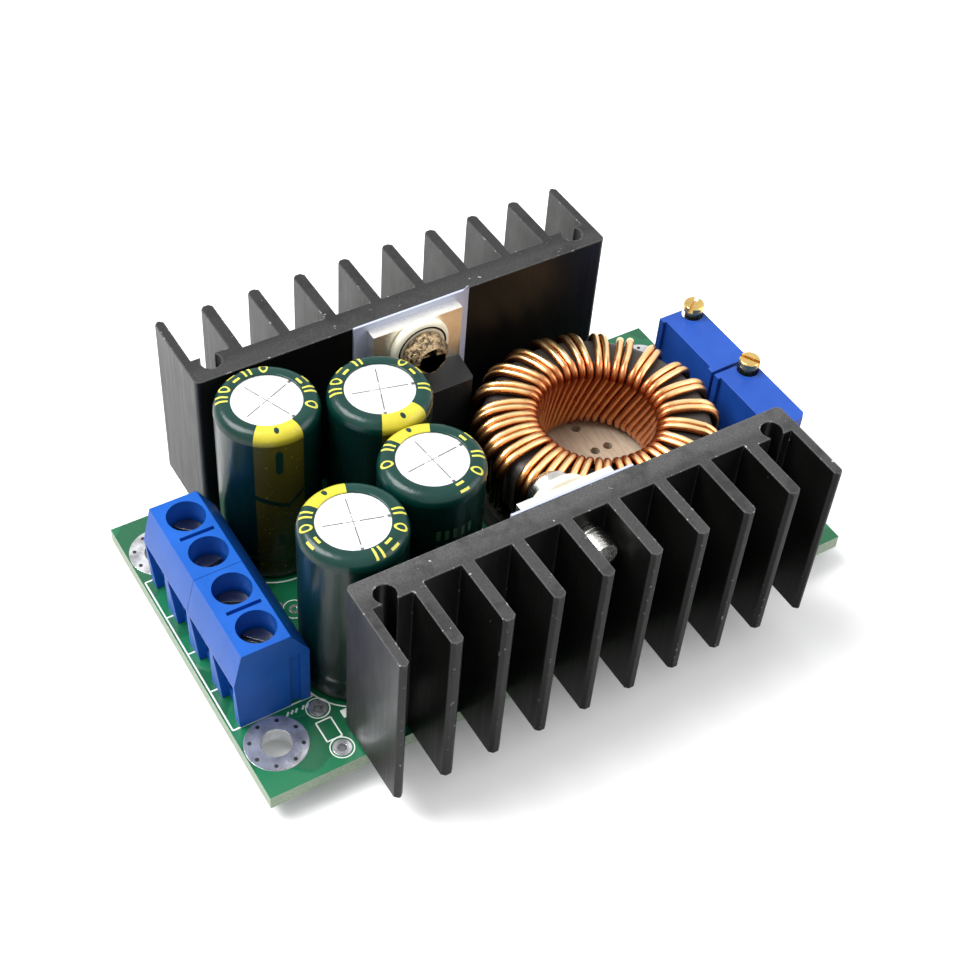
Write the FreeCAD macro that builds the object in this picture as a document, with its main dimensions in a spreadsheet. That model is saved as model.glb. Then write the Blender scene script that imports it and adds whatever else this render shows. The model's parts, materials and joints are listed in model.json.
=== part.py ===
import FreeCAD, Part
import math
import os
import Sketcher
from FreeCAD import Placement, Rotation, Vector

# Driving sizes in millimetres, angles in degrees
SIZES = {
    # circuit board
    "board_long": 65.7,
    "board_wide": 36.3,
    "board_thick": 1.6,
    "mount_gap_long": 59.4,
    "mount_gap_wide": 26.2,
    "mount_hole_wide": 3.2,
    "spare_hole_wide": 1.0,
    "lead_room": 0.12,
    # finned extrusion
    "sink_long": 46.55,
    "sink_high": 19.7,
    "sink_lift": 0.3,
    "sink_deep": 9.75,
    "sink_base": 2.65,
    "channel_base": 3.2,
    "fin_thick": 1.25,
    "end_fin_thick": 0.95,
    "fin_tip_cut": 0.35,
    "sink_corner_round": 0.6,
    "channel_inset": 2.65,
    "channel_centre": 2.3,
    "channel_wide": 2.1,
    "channel_mouth": 1.5,
    "sink_pin_wide": 1.9,
    "sink_pin_reach": 6.0,
    "sink_face": 14.05,
    "front_sink_shift": 0.1,
    "rear_sink_shift": -0.65,
    # power devices on their insulating pads
    "pad_wide": 13.1,
    "pad_thick": 0.25,
    "pad_low": 3.2,
    "pad_top": 20.1,
    "tab_wide": 10.1,
    "tab_thick": 1.3,
    "tab_top": 19.35,
    "tab_hole_drop": 2.75,
    "moulding_low": 4.0,
    "moulding_top": 13.0,
    "moulding_slope": 0.7,
    "moulding_wide": 10.0,
    "moulding_deep": 4.5,
    "moulding_round": 0.3,
    "moulding_mark_wide": 1.6,
    "moulding_mark_deep": 0.15,
    "device_lead_wide": 0.8,
    "device_lead_thick": 0.5,
    "device_lead_back": 2.3,
    "device_lead_kink": 2.0,
    "device_lead_joggle": 1.8,
    "regulator_lead_gap": 1.7,
    "rectifier_lead_gap": 2.54,
    # insulating bush and tab screw
    "bush_flange_wide": 6.6,
    "bush_flange_thick": 1.0,
    "bush_sleeve_wide": 3.7,
    "bush_bore_wide": 3.1,
    "bush_room": 0.05,
    "tab_screw_wide": 2.9,
    "tab_screw_long": 8.1,
    "tab_screw_room": 0.05,
    "tab_screw_head_wide": 5.2,
    "tab_screw_head_high": 2.0,
    "tab_screw_head_slope": 0.8,
    "tab_screw_cross_wide": 0.8,
    "tab_screw_cross_long": 2.8,
    "tab_screw_cross_deep": 1.1,
    # inductor
    "ring_x": 13.45,
    "ring_y": 0.0,
    "core_outer_wide": 23.2,
    "core_inner_wide": 13.0,
    "core_high": 6.45,
    "core_round": 1.2,
    "wire_thick": 0.8,
    "winding_round": 2.0,
    "turn_wide": 1.65,
    "lining_thick": 0.5,
    "winding_room": 0.06,
    "winding_rest": 0.05,
    "winding_lead_wide": 1.1,
    "winding_lead_inset": 0.6,
    "base_inset": 0.2,
    "base_high": 3.2,
    "base_edge": 0.4,
    "base_hole_wide": 1.0,
    "base_hole_x": 1.8,
    "base_hole_y": 1.7,
    "base_hole_gap_x": 1.6,
    "base_hole_gap_y": 3.7,
    # capacitors
    "can_wide": 9.8,
    "sleeve_thick": 0.15,
    "can_high": 19.85,
    "can_shoulder_in": 0.45,
    "can_shoulder_drop": 0.8,
    "can_foot": 0.3,
    "sleeve_lip": 1.35,
    "seal_wide": 8.4,
    "seal_thick": 2.0,
    "cap_lead_wide": 0.6,
    "cap_lead_gap": 5.0,
    "cap_rear_left_x": -19.05,
    "cap_rear_left_y": 8.95,
    "cap_rear_right_x": -9.0,
    "cap_rear_right_y": 5.35,
    "cap_front_right_x": -9.2,
    "cap_front_right_y": -4.85,
    "cap_front_left_x": -19.1,
    "cap_front_left_y": -8.05,
    # screw terminals
    "pole_gap": 5.0,
    "terminal_setback": 0.65,
    "terminal_deep": 7.65,
    "terminal_high": 10.45,
    "terminal_slope_start": 6.5,
    "terminal_slope_in": 0.9,
    "terminal_toe_in": 0.35,
    "terminal_bevel_in": 1.85,
    "terminal_bevel_drop": 3.0,
    "terminal_seam": 0.04,
    "well_wide": 3.8,
    "well_centre": 3.6,
    "mouth_top_wide": 4.3,
    "mouth_low_wide": 2.7,
    "mouth_top": 6.1,
    "mouth_deep": 1.1,
    "groove_long": 3.5,
    "groove_wide": 0.4,
    "groove_deep": 0.5,
    "dovetail_inset": 1.5,
    "dovetail_wide": 1.0,
    "dovetail_deep": 0.35,
    "dovetail_room": 0.05,
    "cage_wide": 3.7,
    "cage_deep": 4.2,
    "cage_room": 0.05,
    "cage_low": 0.4,
    "cage_floor": 0.5,
    "cage_wall": 0.45,
    "cage_window": 3.0,
    "cage_plate": 1.1,
    "cage_pin_wide": 1.0,
    "cage_pin_thick": 0.8,
    "terminal_screw_wide": 2.5,
    "terminal_screw_room": 0.05,
    "terminal_head_wide": 3.2,
    "terminal_head_high": 0.9,
    "terminal_head_drop": 2.3,
    "terminal_slot_wide": 0.5,
    "terminal_slot_deep": 0.5,
    "clamp_thick": 0.4,
    "clamp_room": 0.1,
    "clamp_lip": 0.45,
    # multi-turn trimmers
    "trimmer_long": 9.45,
    "trimmer_thick": 4.83,
    "trimmer_high": 10.03,
    "trimmer_foot": 0.3,
    "trimmer_foot_long": 1.2,
    "trimmer_edge": 0.07,
    "trimmer_gap": 0.38,
    "trimmer_shift": -0.09,
    "trimmer_post": 0.75,
    "trimmer_recess": 0.35,
    "trimmer_chamfer": 0.6,
    "trimmer_pin_wide": 0.5,
    "trimmer_pin_gap": 2.54,
    "trimmer_screw_wide": 2.2,
    "trimmer_screw_room": 0.06,
    "trimmer_screw_inset": 1.2,
    "trimmer_screw_end": 1.0,
    "trimmer_screw_rise": 1.5,
    "trimmer_screw_sunk": 2.2,
    "trimmer_slot_wide": 0.45,
    "trimmer_slot_deep": 0.7,
    # underside
    "solder_spread": 0.4,
    "solder_high": 1.0,
    "op_amp_x": -3.0,
    "op_amp_passive_step": 1.6,
    "op_amp_passive_row": 4.6,
    "reference_chip_x": 14.0,
    "reference_chip_y": 3.0,
    "reference_passive_step": 4.6,
    "reference_passive_row": 3.5,
    "sense_x": -14.0,
    "solder_tip_wide": 0.6,
    "sink_solder_high": 1.8,
    "chip_long": 4.9,
    "chip_wide": 3.9,
    "chip_high": 1.4,
    "chip_lead_gap": 1.27,
    "chip_lead_long": 1.0,
    "chip_lead_wide": 0.42,
    "chip_lead_thick": 0.2,
    "small_chip_long": 4.5,
    "small_chip_wide": 2.5,
    "small_chip_high": 1.5,
    "sense_long": 6.3,
    "sense_wide": 3.2,
    "sense_high": 0.6,
    "passive_long": 2.0,
    "passive_wide": 1.25,
    "passive_high": 0.5,
}

FIN_COUNT = 10
POLE_COUNT = 4
WIRE_SIDES = 8
# Where each hand-wound turn crosses the ring, in degrees; the winding's two ends meet after the thirteenth
TURNS = (9, 26, 43, 57, 73, 88, 104, 120, 136, 152, 163, 174, 185,
         200, 210, 222, 236, 252, 266, 282, 301, 319, 338, 354)
LEAD_TURNS = (185, 200)
# Empty plated holes, from the board's left front corner
SPARE_HOLES = ((8.3, 6.7), (8.25, 1.75))
UP = Vector(0, 0, 1)
EAST = Vector(1, 0, 0)


class Size:
    """A number together with the expression that ties it to the sheet."""

    def __init__(self, value, text):
        self.value = value
        self.text = text

    def joined(self, sign, other, value):
        return Size(value, "(%s %s %s)" % (self.text, sign, other.text))

    def __add__(self, other):
        other = as_size(other)
        return self.joined("+", other, self.value + other.value)

    def __sub__(self, other):
        other = as_size(other)
        return self.joined("-", other, self.value - other.value)

    def __mul__(self, other):
        other = as_size(other)
        return self.joined("*", other, self.value * other.value)

    def __truediv__(self, other):
        other = as_size(other)
        return self.joined("/", other, self.value / other.value)

    def __neg__(self):
        return Size(-self.value, "(0 - %s)" % self.text)

    __radd__ = __add__

    def __rsub__(self, other):
        return as_size(other) - self

    def __rmul__(self, other):
        return self * other


def as_size(item):
    return item if isinstance(item, Size) else Size(float(item), "(%r)" % float(item))


class SizeTable:
    """Each driving size as an attribute, by its alias in the sheet."""

    def __init__(self, sheet):
        for row, (alias, value) in enumerate(SIZES.items(), 1):
            sheet.set("A%d" % row, alias)
            sheet.set("B%d" % row, str(value))
            sheet.setAlias("B%d" % row, alias)
            setattr(self, alias, Size(value, "sizes." + alias))


doc = FreeCAD.newDocument("converter")
S = SizeTable(doc.addObject("Spreadsheet::Sheet", "sizes"))
doc.recompute()

parts = []
board_holes = []


# Helpers for features and places

def tie(item, name, size):
    item.setExpression(name, as_size(size).text)


def place(item, x=0, y=0, z=0, turn=None):
    item.Placement = Placement(Vector(0, 0, 0), turn or Rotation())
    tie(item, "Placement.Base.x", x)
    tie(item, "Placement.Base.y", y)
    tie(item, "Placement.Base.z", z)
    return item


def new_body(label, listed=True):
    body = doc.addObject("PartDesign::Body", label)
    body.Label = label
    if listed:
        parts.append(body)
    return body


def sketch_on(body, role, lift=0):
    """A sketch on one of the body's own planes, lifted along that plane's normal."""
    plane = next(item for item in body.Origin.OriginFeatures if item.Role == role)
    sketch = body.newObject("Sketcher::SketchObject", "Sketch")
    sketch.AttachmentSupport = [(plane, "")]
    sketch.MapMode = "FlatFace"
    tie(sketch, "AttachmentOffset.Base.z", lift)
    return sketch


def pin_point(sketch, geometry, point, x, y):
    for kind, size in (("DistanceX", as_size(x)), ("DistanceY", as_size(y))):
        index = sketch.addConstraint(Sketcher.Constraint(kind, -1, 1, geometry, point, size.value))
        sketch.setExpression("Constraints[%d]" % index, size.text)


def draw_outline(sketch, points):
    """A closed outline of straight lines, each corner held by its two coordinates."""
    first = sketch.GeometryCount
    corners = [Vector(as_size(x).value, as_size(y).value, 0) for x, y in points]
    count = len(corners)
    for i in range(count):
        sketch.addGeometry(Part.LineSegment(corners[i], corners[(i + 1) % count]), False)
    for i in range(count):
        after = first + (i + 1) % count
        sketch.addConstraint(Sketcher.Constraint("Coincident", first + i, 2, after, 1))
    for i, (x, y) in enumerate(points):
        pin_point(sketch, first + i, 1, x, y)


def draw_box(sketch, low_x, low_y, high_x, high_y):
    draw_outline(sketch, [(low_x, low_y), (high_x, low_y), (high_x, high_y), (low_x, high_y)])


def draw_circle(sketch, x, y, wide):
    radius = as_size(wide) / 2
    centre = Vector(as_size(x).value, as_size(y).value, 0)
    index = sketch.addGeometry(Part.Circle(centre, UP, radius.value), False)
    pin_point(sketch, index, 3, x, y)
    held = sketch.addConstraint(Sketcher.Constraint("Radius", index, radius.value))
    sketch.setExpression("Constraints[%d]" % held, radius.text)


def pad(body, sketch, length, flip=False):
    feature = body.newObject("PartDesign::Pad", "Pad")
    feature.Profile = sketch
    feature.Reversed = flip
    tie(feature, "Length", length)
    return feature


def pocket(body, sketch, depth, flip=False):
    feature = body.newObject("PartDesign::Pocket", "Pocket")
    feature.Profile = sketch
    feature.Reversed = flip
    tie(feature, "Length", depth)
    return feature


def revolve(body, sketch):
    feature = body.newObject("PartDesign::Revolution", "Revolution")
    feature.Profile = sketch
    feature.ReferenceAxis = (sketch, ["V_Axis"])
    feature.Angle = 360
    return feature


def hollow_out(body, sketch):
    feature = body.newObject("PartDesign::Groove", "Groove")
    feature.Profile = sketch
    feature.ReferenceAxis = (sketch, ["V_Axis"])
    feature.Angle = 360
    return feature


def dress(body, kind, size_name, size, test):
    """A fillet or chamfer on every edge of the tip that passes the test."""
    doc.recompute()
    base = body.Tip
    names = ["Edge%d" % n for n, edge in enumerate(base.Shape.Edges, 1) if test(edge)]
    feature = body.newObject("PartDesign::" + kind, kind)
    feature.Base = (base, names)
    tie(feature, size_name, size)
    return feature


def upright_at(edge, test):
    """True for a straight upright edge whose x and y pass the test."""
    low, high = edge.Vertexes[0].Point, edge.Vertexes[-1].Point
    level = abs(low.x - high.x) < 1e-6 and abs(low.y - high.y) < 1e-6
    return level and abs(low.z - high.z) > 1e-6 and test(low.x, low.y)


def group(label, members):
    item = doc.addObject("Part::Compound", label)
    item.Label = label
    item.Links = members
    parts.append(item)
    return item


def new_box(name, long, wide, high):
    item = doc.addObject("Part::Box", name)
    tie(item, "Length", long)
    tie(item, "Width", wide)
    tie(item, "Height", high)
    return item


def new_cylinder(name, wide, high):
    item = doc.addObject("Part::Cylinder", name)
    tie(item, "Radius", as_size(wide) / 2)
    tie(item, "Height", high)
    return item


def new_wire(name, wide, high):
    """A thin upright wire, pin or drill with few sides."""
    item = doc.addObject("Part::Prism", name)
    item.Polygon = WIRE_SIDES
    tie(item, "Circumradius", as_size(wide) / 2)
    tie(item, "Height", high)
    return item


def diagonal(wide, thick):
    return Size(math.hypot(wide.value, thick.value), "sqrt(%s ^ 2 + %s ^ 2)" % (wide.text, thick.text))


def lead_hole(x, y, lead_wide, solder_high=None):
    """Notes a soldered lead, so that the board gets its hole and the underside its joint."""
    board_holes.append((x, y, as_size(lead_wide), as_size(solder_high or S.solder_high)))


# Finned heatsinks

def fin_centre(number):
    pitch = (S.sink_long - S.end_fin_thick) / (FIN_COUNT - 1)
    return pitch * number + S.end_fin_thick / 2 - S.sink_long / 2


def sink_outline():
    """Flat back along y = 0, fins towards +y, deeper base beside the pin channels."""
    half = S.sink_long / 2
    points = [(-half, 0), (half, 0)]
    for number in reversed(range(FIN_COUNT)):
        last = FIN_COUNT - 1
        thick = S.end_fin_thick if number in (0, last) else S.fin_thick
        right = fin_centre(number) + thick / 2
        left = fin_centre(number) - thick / 2
        if number < last:
            points.append((right, S.channel_base if number in (0, last - 1) else S.sink_base))
        points.append((right if number < last else half, S.sink_deep))
        points.append((left if number > 0 else -half, S.sink_deep))
        if number > 0:
            points.append((left, S.channel_base if number in (1, last) else S.sink_base))
    return points


def channel_centres():
    offset = S.sink_long / 2 - S.channel_inset
    return (-offset, offset)


def heatsink(label, shift, face, turn):
    body = new_body(label)
    outline = sketch_on(body, "XY_Plane")
    draw_outline(outline, sink_outline())
    pad(body, outline, S.sink_high)
    channels = sketch_on(body, "XY_Plane")
    for x in channel_centres():
        draw_circle(channels, x, S.channel_centre, S.channel_wide)
    pocket(body, channels, S.sink_high, flip=True)
    mouths = sketch_on(body, "XY_Plane")
    for x in channel_centres():
        half = S.channel_mouth / 2
        draw_box(mouths, x - half, S.channel_centre, x + half, S.channel_base)
    pocket(body, mouths, S.sink_high, flip=True)
    hole = sketch_on(body, "XZ_Plane")
    hole_height = S.tab_top - S.tab_hole_drop - S.sink_lift
    draw_circle(hole, 0, hole_height, S.tab_screw_wide + 2 * S.tab_screw_room)
    pocket(body, hole, S.sink_base * 2)
    tip = S.sink_deep.value
    half_long = S.sink_long.value / 2

    def at_tip(x, y):
        return abs(y - tip) < 1e-4

    def at_corner(x, y):
        return abs(y) < 1e-4 and abs(abs(x) - half_long) < 1e-4

    dress(body, "Chamfer", "Size", S.fin_tip_cut, lambda edge: upright_at(edge, at_tip))
    dress(body, "Fillet", "Radius", S.sink_corner_round, lambda edge: upright_at(edge, at_corner))
    place(body, shift, face, S.board_thick + S.sink_lift, turn)


def sink_pins(label, shift, face, outward):
    """Two round pins pressed up into the channels, soldered below the board."""
    pins = []
    for x in channel_centres():
        item = new_wire("pin", S.sink_pin_wide, S.board_thick + S.sink_pin_reach)
        pins.append(place(item, shift + x, face + outward * S.channel_centre, 0))
        lead_hole(shift + x, face + outward * S.channel_centre, S.sink_pin_wide, S.sink_solder_high)
    group(label, pins)


# Power devices, each in a frame whose y runs from the heatsink's face inwards

def insulating_pad(label, seat):
    body = new_body(label)
    sketch = sketch_on(body, "XZ_Plane")
    draw_box(sketch, -S.pad_wide / 2, S.pad_low, S.pad_wide / 2, S.pad_top)
    draw_circle(sketch, 0, S.tab_top - S.tab_hole_drop, S.bush_sleeve_wide)
    pad(body, sketch, S.pad_thick, flip=True)
    seat(body)


def device_tab(name):
    body = new_body(name, listed=False)
    sketch = sketch_on(body, "XZ_Plane", -S.pad_thick)
    draw_box(sketch, -S.tab_wide / 2, S.moulding_low, S.tab_wide / 2, S.tab_top)
    draw_circle(sketch, 0, S.tab_top - S.tab_hole_drop, S.bush_sleeve_wide + 2 * S.bush_room)
    pad(body, sketch, S.tab_thick, flip=True)
    return body


def device_lead(name, x, step):
    """A flat lead from the moulding down to the board's underside, stepped inwards by step."""
    body = new_body(name, listed=False)
    back = S.pad_thick + S.device_lead_back
    front = back + S.device_lead_thick
    bend = S.moulding_low - S.device_lead_kink + S.device_lead_thick
    low = -S.board_thick
    sketch = sketch_on(body, "YZ_Plane", x - S.device_lead_wide / 2)
    if step is None:
        draw_box(sketch, back, low, front, S.moulding_low)
    else:
        under = bend - S.device_lead_thick
        draw_outline(sketch, [
            (back, S.moulding_low), (back, under), (back + step, under), (back + step, low),
            (front + step, low), (front + step, bend), (front, bend), (front, S.moulding_low)])
    pad(body, sketch, S.device_lead_wide)
    return body


def moulding(label, seat):
    body = new_body(label)
    back = S.pad_thick + S.tab_thick
    front = S.pad_thick + S.moulding_deep
    sketch = sketch_on(body, "YZ_Plane", -S.moulding_wide / 2)
    draw_outline(sketch, [
        (back, S.moulding_low), (front, S.moulding_low + S.moulding_slope / 2),
        (front, S.moulding_top - S.moulding_slope), (back, S.moulding_top)])
    pad(body, sketch, S.moulding_wide)
    mark = sketch_on(body, "XZ_Plane", -front)
    draw_circle(mark, 0, S.moulding_low + 2 * S.moulding_mark_wide, S.moulding_mark_wide)
    pocket(body, mark, S.moulding_mark_deep, flip=True)
    face = front.value

    def on_face(x, y):
        return abs(y - face) < 1e-4 and abs(x) > 1

    dress(body, "Chamfer", "Size", S.moulding_round, lambda edge: upright_at(edge, on_face))
    seat(body)


def insulating_bush(label, seat_axis):
    """A flanged sleeve, turned about the screw's axis, flange away from the tab."""
    body = new_body(label)
    sketch = sketch_on(body, "XZ_Plane")
    bore = S.bush_bore_wide / 2
    flange = S.bush_flange_wide / 2
    top = S.tab_thick + S.bush_flange_thick
    draw_outline(sketch, [
        (bore, 0), (S.bush_sleeve_wide / 2, 0), (S.bush_sleeve_wide / 2, S.tab_thick),
        (flange, S.tab_thick), (flange, top), (bore, top)])
    revolve(body, sketch)
    seat_axis(body, S.pad_thick)


def tab_screw(label, seat_axis):
    body = new_body(label)
    sketch = sketch_on(body, "XZ_Plane")
    shank = S.tab_screw_wide / 2
    head = S.tab_screw_head_wide / 2
    draw_outline(sketch, [
        (0, -S.tab_screw_long), (shank, -S.tab_screw_long), (shank, 0), (head, 0),
        (head, S.tab_screw_head_high - S.tab_screw_head_slope),
        (head - S.tab_screw_head_slope, S.tab_screw_head_high), (0, S.tab_screw_head_high)])
    revolve(body, sketch)
    for along in (True, False):
        cross = sketch_on(body, "XY_Plane", S.tab_screw_head_high)
        long = S.tab_screw_cross_long / 2
        wide = S.tab_screw_cross_wide / 2
        if along:
            draw_box(cross, -long, -wide, long, wide)
        else:
            draw_box(cross, -wide, -long, wide, long)
        pocket(body, cross, S.tab_screw_cross_deep)
    seat_axis(body, S.pad_thick + S.tab_thick + S.bush_flange_thick)


def power_device(side, kind, inward, shift, face, lead_gap, lead_steps):
    """inward is +1 where the inward direction is +y, and -1 where it is -y."""
    about = Rotation() if inward > 0 else Rotation(UP, 180)
    tilt = Rotation(EAST, -90 * inward)
    screw_height = S.board_thick + S.tab_top - S.tab_hole_drop

    def seat(item):
        return place(item, shift, face, S.board_thick, about)

    def seat_axis(item, reach):
        return place(item, shift, face + inward * reach, screw_height, tilt)

    insulating_pad(side + "_insulating_pad", seat)
    members = [seat(device_tab("tab"))]
    middle = (len(lead_steps) - 1) / 2
    lead_y = S.pad_thick + S.device_lead_back + S.device_lead_thick / 2
    lead_across = diagonal(S.device_lead_wide, S.device_lead_thick)
    for number, step in enumerate(lead_steps):
        x = lead_gap * (number - middle)
        members.append(seat(device_lead("lead", x, step)))
        reach = lead_y + (step or 0)
        lead_hole(shift + inward * x, face + inward * reach, lead_across)
    group("%s_%s_lead_frame" % (side, kind), members)
    moulding("%s_%s_moulding" % (side, kind), seat)
    insulating_bush(side + "_insulating_bush", seat_axis)
    tab_screw(side + "_tab_screw", seat_axis)


# Inductor

def ring_section(sketch, inner, outer, low, high, cut):
    """A four-sided section with its corners cut at 45 degrees."""
    draw_outline(sketch, [
        (inner + cut, low), (outer - cut, low), (outer, low + cut), (outer, high - cut),
        (outer - cut, high), (inner + cut, high), (inner, high - cut), (inner, low + cut)])


def core_low():
    return S.board_thick + S.base_high + S.winding_rest + S.wire_thick


def inductor_base():
    """A moulded disc that lifts the ring off the board, with three holes in its open middle."""
    body = new_body("inductor_base")
    sketch = sketch_on(body, "XZ_Plane")
    reach = S.core_outer_wide / 2 + S.wire_thick - S.base_inset
    draw_outline(sketch, [
        (0, 0), (reach, 0), (reach, S.base_high - S.base_edge), (reach - S.base_edge, S.base_high),
        (0, S.base_high)])
    revolve(body, sketch)
    holes = sketch_on(body, "XY_Plane")
    for x, y in ((0, 0), (S.base_hole_gap_x, 0), (0, S.base_hole_gap_y)):
        draw_circle(holes, S.base_hole_x + x, S.base_hole_y + y, S.base_hole_wide)
    for turn in LEAD_TURNS:
        x, y = polar(lead_reach(), turn)
        draw_circle(holes, x, y, S.winding_lead_wide + 2 * S.lead_room)
    pocket(body, holes, S.base_high, flip=True)
    place(body, S.ring_x, S.ring_y, S.board_thick)


def inductor_core():
    body = new_body("inductor_core")
    sketch = sketch_on(body, "XZ_Plane")
    low = core_low()
    ring_section(sketch, S.core_inner_wide / 2, S.core_outer_wide / 2, low, low + S.core_high, S.core_round)
    revolve(body, sketch)
    place(body, S.ring_x, S.ring_y, 0)


def polar(reach, turn):
    x = reach * Size(math.cos(math.radians(turn)), "cos(%r deg)" % float(turn))
    y = reach * Size(math.sin(math.radians(turn)), "sin(%r deg)" % float(turn))
    return x, y


def lead_reach():
    return S.core_outer_wide / 2 - S.winding_lead_inset


def winding_lead(turn):
    """One end of the winding: it leaves its turn's foot and goes down through the board."""
    item = new_wire("lead", S.winding_lead_wide, core_low())
    x, y = polar(lead_reach(), turn)
    lead_hole(S.ring_x + x, S.ring_y + y, S.winding_lead_wide)
    return place(item, S.ring_x + x, S.ring_y + y, 0)


def wind_turn(body, turn):
    """One turn: a flat-sided band round the core's section, in the upright plane at this angle."""
    sketch = sketch_on(body, "XZ_Plane")
    sketch.AttachmentOffset = Placement(Vector(0, 0, 0), Rotation(Vector(0, 1, 0), turn))
    low = core_low()
    inner = S.core_inner_wide / 2 - S.winding_room
    outer = S.core_outer_wide / 2
    thick = S.wire_thick
    high = low + S.core_high
    ring_section(sketch, inner - thick, outer + thick, low - thick, high + thick, S.winding_round)
    ring_section(sketch, inner, outer, low, high, S.core_round)
    band = pad(body, sketch, S.turn_wide)
    band.Midplane = True


def inductor_winding():
    """Turns of two-strand wire outside, packed into a closed lining in the hole."""
    body = new_body("winding_turns", listed=False)
    lining = sketch_on(body, "XZ_Plane")
    low = core_low()
    outer = S.core_inner_wide / 2 - 2 * S.winding_room
    draw_box(lining, outer - S.lining_thick, low, outer, low + S.core_high)
    revolve(body, lining)
    for turn in TURNS:
        wind_turn(body, turn)
    place(body, S.ring_x, S.ring_y, 0)
    item = doc.addObject("Part::MultiFuse", "inductor_winding")
    item.Label = "inductor_winding"
    item.Shapes = [body] + [winding_lead(turn) for turn in LEAD_TURNS]
    parts.append(item)


# Electrolytic capacitors

def can_profile(sketch, radius, low, high):
    """Half section of an upright can with a steep shoulder."""
    draw_outline(sketch, [
        (0, low), (radius, low), (radius, high - S.can_shoulder_drop),
        (radius - S.can_shoulder_in, high), (0, high)])


def capacitor(place_name, x, y, stripe):
    label = "capacitor_" + place_name
    low = S.board_thick + S.can_foot
    top = S.board_thick + S.can_high
    thick = S.sleeve_thick
    radius = S.can_wide / 2
    can = new_body(label + "_can")
    sketch = sketch_on(can, "XZ_Plane")
    can_profile(sketch, radius, low, top)
    revolve(can, sketch)
    well = sketch_on(can, "XY_Plane", low)
    draw_circle(well, 0, 0, S.seal_wide)
    pocket(can, well, S.seal_thick, flip=True)
    place(can, x, y, 0)

    sleeve = new_body(label + "_sleeve")
    sketch = sketch_on(sleeve, "XZ_Plane")
    can_profile(sketch, radius + thick, low, top + thick)
    revolve(sleeve, sketch)
    hollow = sketch_on(sleeve, "XZ_Plane")
    can_profile(hollow, radius, low, top)
    hollow_out(sleeve, hollow)
    window = sketch_on(sleeve, "XY_Plane", top + thick)
    draw_circle(window, 0, 0, S.can_wide - 2 * S.sleeve_lip)
    pocket(sleeve, window, 2 * thick)
    place(sleeve, x, y, 0)

    seal = new_cylinder(label + "_seal", S.seal_wide, S.seal_thick)
    seal.Label = label + "_seal"
    parts.append(place(seal, x, y, low))

    leads = []
    reach = S.cap_lead_gap / 2
    for side in (-1, 1):
        lead_x = x + side * reach * math.cos(math.radians(stripe))
        lead_y = y + side * reach * math.sin(math.radians(stripe))
        leads.append(place(new_wire("lead", S.cap_lead_wide, low), lead_x, lead_y, 0))
        lead_hole(lead_x, lead_y, S.cap_lead_wide)
    group(label + "_leads", leads)


# Screw terminals, each housing in a frame whose x runs inwards from its front face

def terminal_x():
    return S.terminal_setback - S.board_long / 2


def cage_back():
    return S.well_centre - S.cage_deep / 2


def terminal_housing(label, middle, ribbed):
    body = new_body(label)
    half = S.pole_gap - S.terminal_seam / 2
    outline = sketch_on(body, "XZ_Plane", -half)
    draw_outline(outline, [
        (S.terminal_toe_in, 0), (S.terminal_deep, 0),
        (S.terminal_deep, S.terminal_high - S.terminal_bevel_drop),
        (S.terminal_deep - S.terminal_bevel_in, S.terminal_high),
        (S.terminal_slope_in, S.terminal_high), (0, S.terminal_slope_start)])
    pad(body, outline, 2 * half)
    poles = (-S.pole_gap / 2, S.pole_gap / 2)
    cage_top = S.cage_low + S.cage_floor + S.cage_window + S.cage_plate
    room = S.cage_room
    wells = sketch_on(body, "XY_Plane", S.terminal_high)
    for y in poles:
        draw_circle(wells, S.well_centre, y, S.well_wide)
    pocket(body, wells, S.terminal_high - cage_top)
    cavities = sketch_on(body, "XY_Plane")
    for y in poles:
        draw_box(cavities, cage_back() - room, y - S.cage_wide / 2 - room,
                 cage_back() + S.cage_deep + room, y + S.cage_wide / 2 + room)
    pocket(body, cavities, cage_top + room, flip=True)
    mouths = sketch_on(body, "YZ_Plane")
    for y in poles:
        top = S.mouth_top_wide / 2
        low = S.mouth_low_wide / 2
        draw_outline(mouths, [(y - low, 0), (y + low, 0), (y + top, S.mouth_top), (y - top, S.mouth_top)])
    pocket(body, mouths, S.mouth_deep, flip=True)
    windows = sketch_on(body, "YZ_Plane")
    for y in poles:
        side = S.cage_wide / 2 - S.cage_wall
        floor = S.cage_low + S.cage_floor
        draw_box(windows, y - side, floor, y + side, floor + S.cage_window)
    pocket(body, windows, cage_back() + room, flip=True)
    groove = sketch_on(body, "XY_Plane", S.terminal_high)
    draw_box(groove, S.well_centre - S.groove_long / 2, -S.groove_wide / 2,
             S.well_centre + S.groove_long / 2, S.groove_wide / 2)
    pocket(body, groove, S.groove_deep)
    back = S.terminal_deep - S.dovetail_inset
    rib_high = S.terminal_high - S.terminal_bevel_drop
    slot = sketch_on(body, "XY_Plane")
    draw_box(slot, back - S.dovetail_wide / 2 - S.dovetail_room, -half,
             back + S.dovetail_wide / 2 + S.dovetail_room, S.dovetail_deep + S.dovetail_room - half)
    pocket(body, slot, rib_high, flip=True)
    if ribbed:
        rib = sketch_on(body, "XY_Plane")
        draw_box(rib, back - S.dovetail_wide / 2, half, back + S.dovetail_wide / 2, half + S.dovetail_deep)
        pad(body, rib, rib_high - S.dovetail_room)
    place(body, terminal_x(), middle, S.board_thick)


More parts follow.
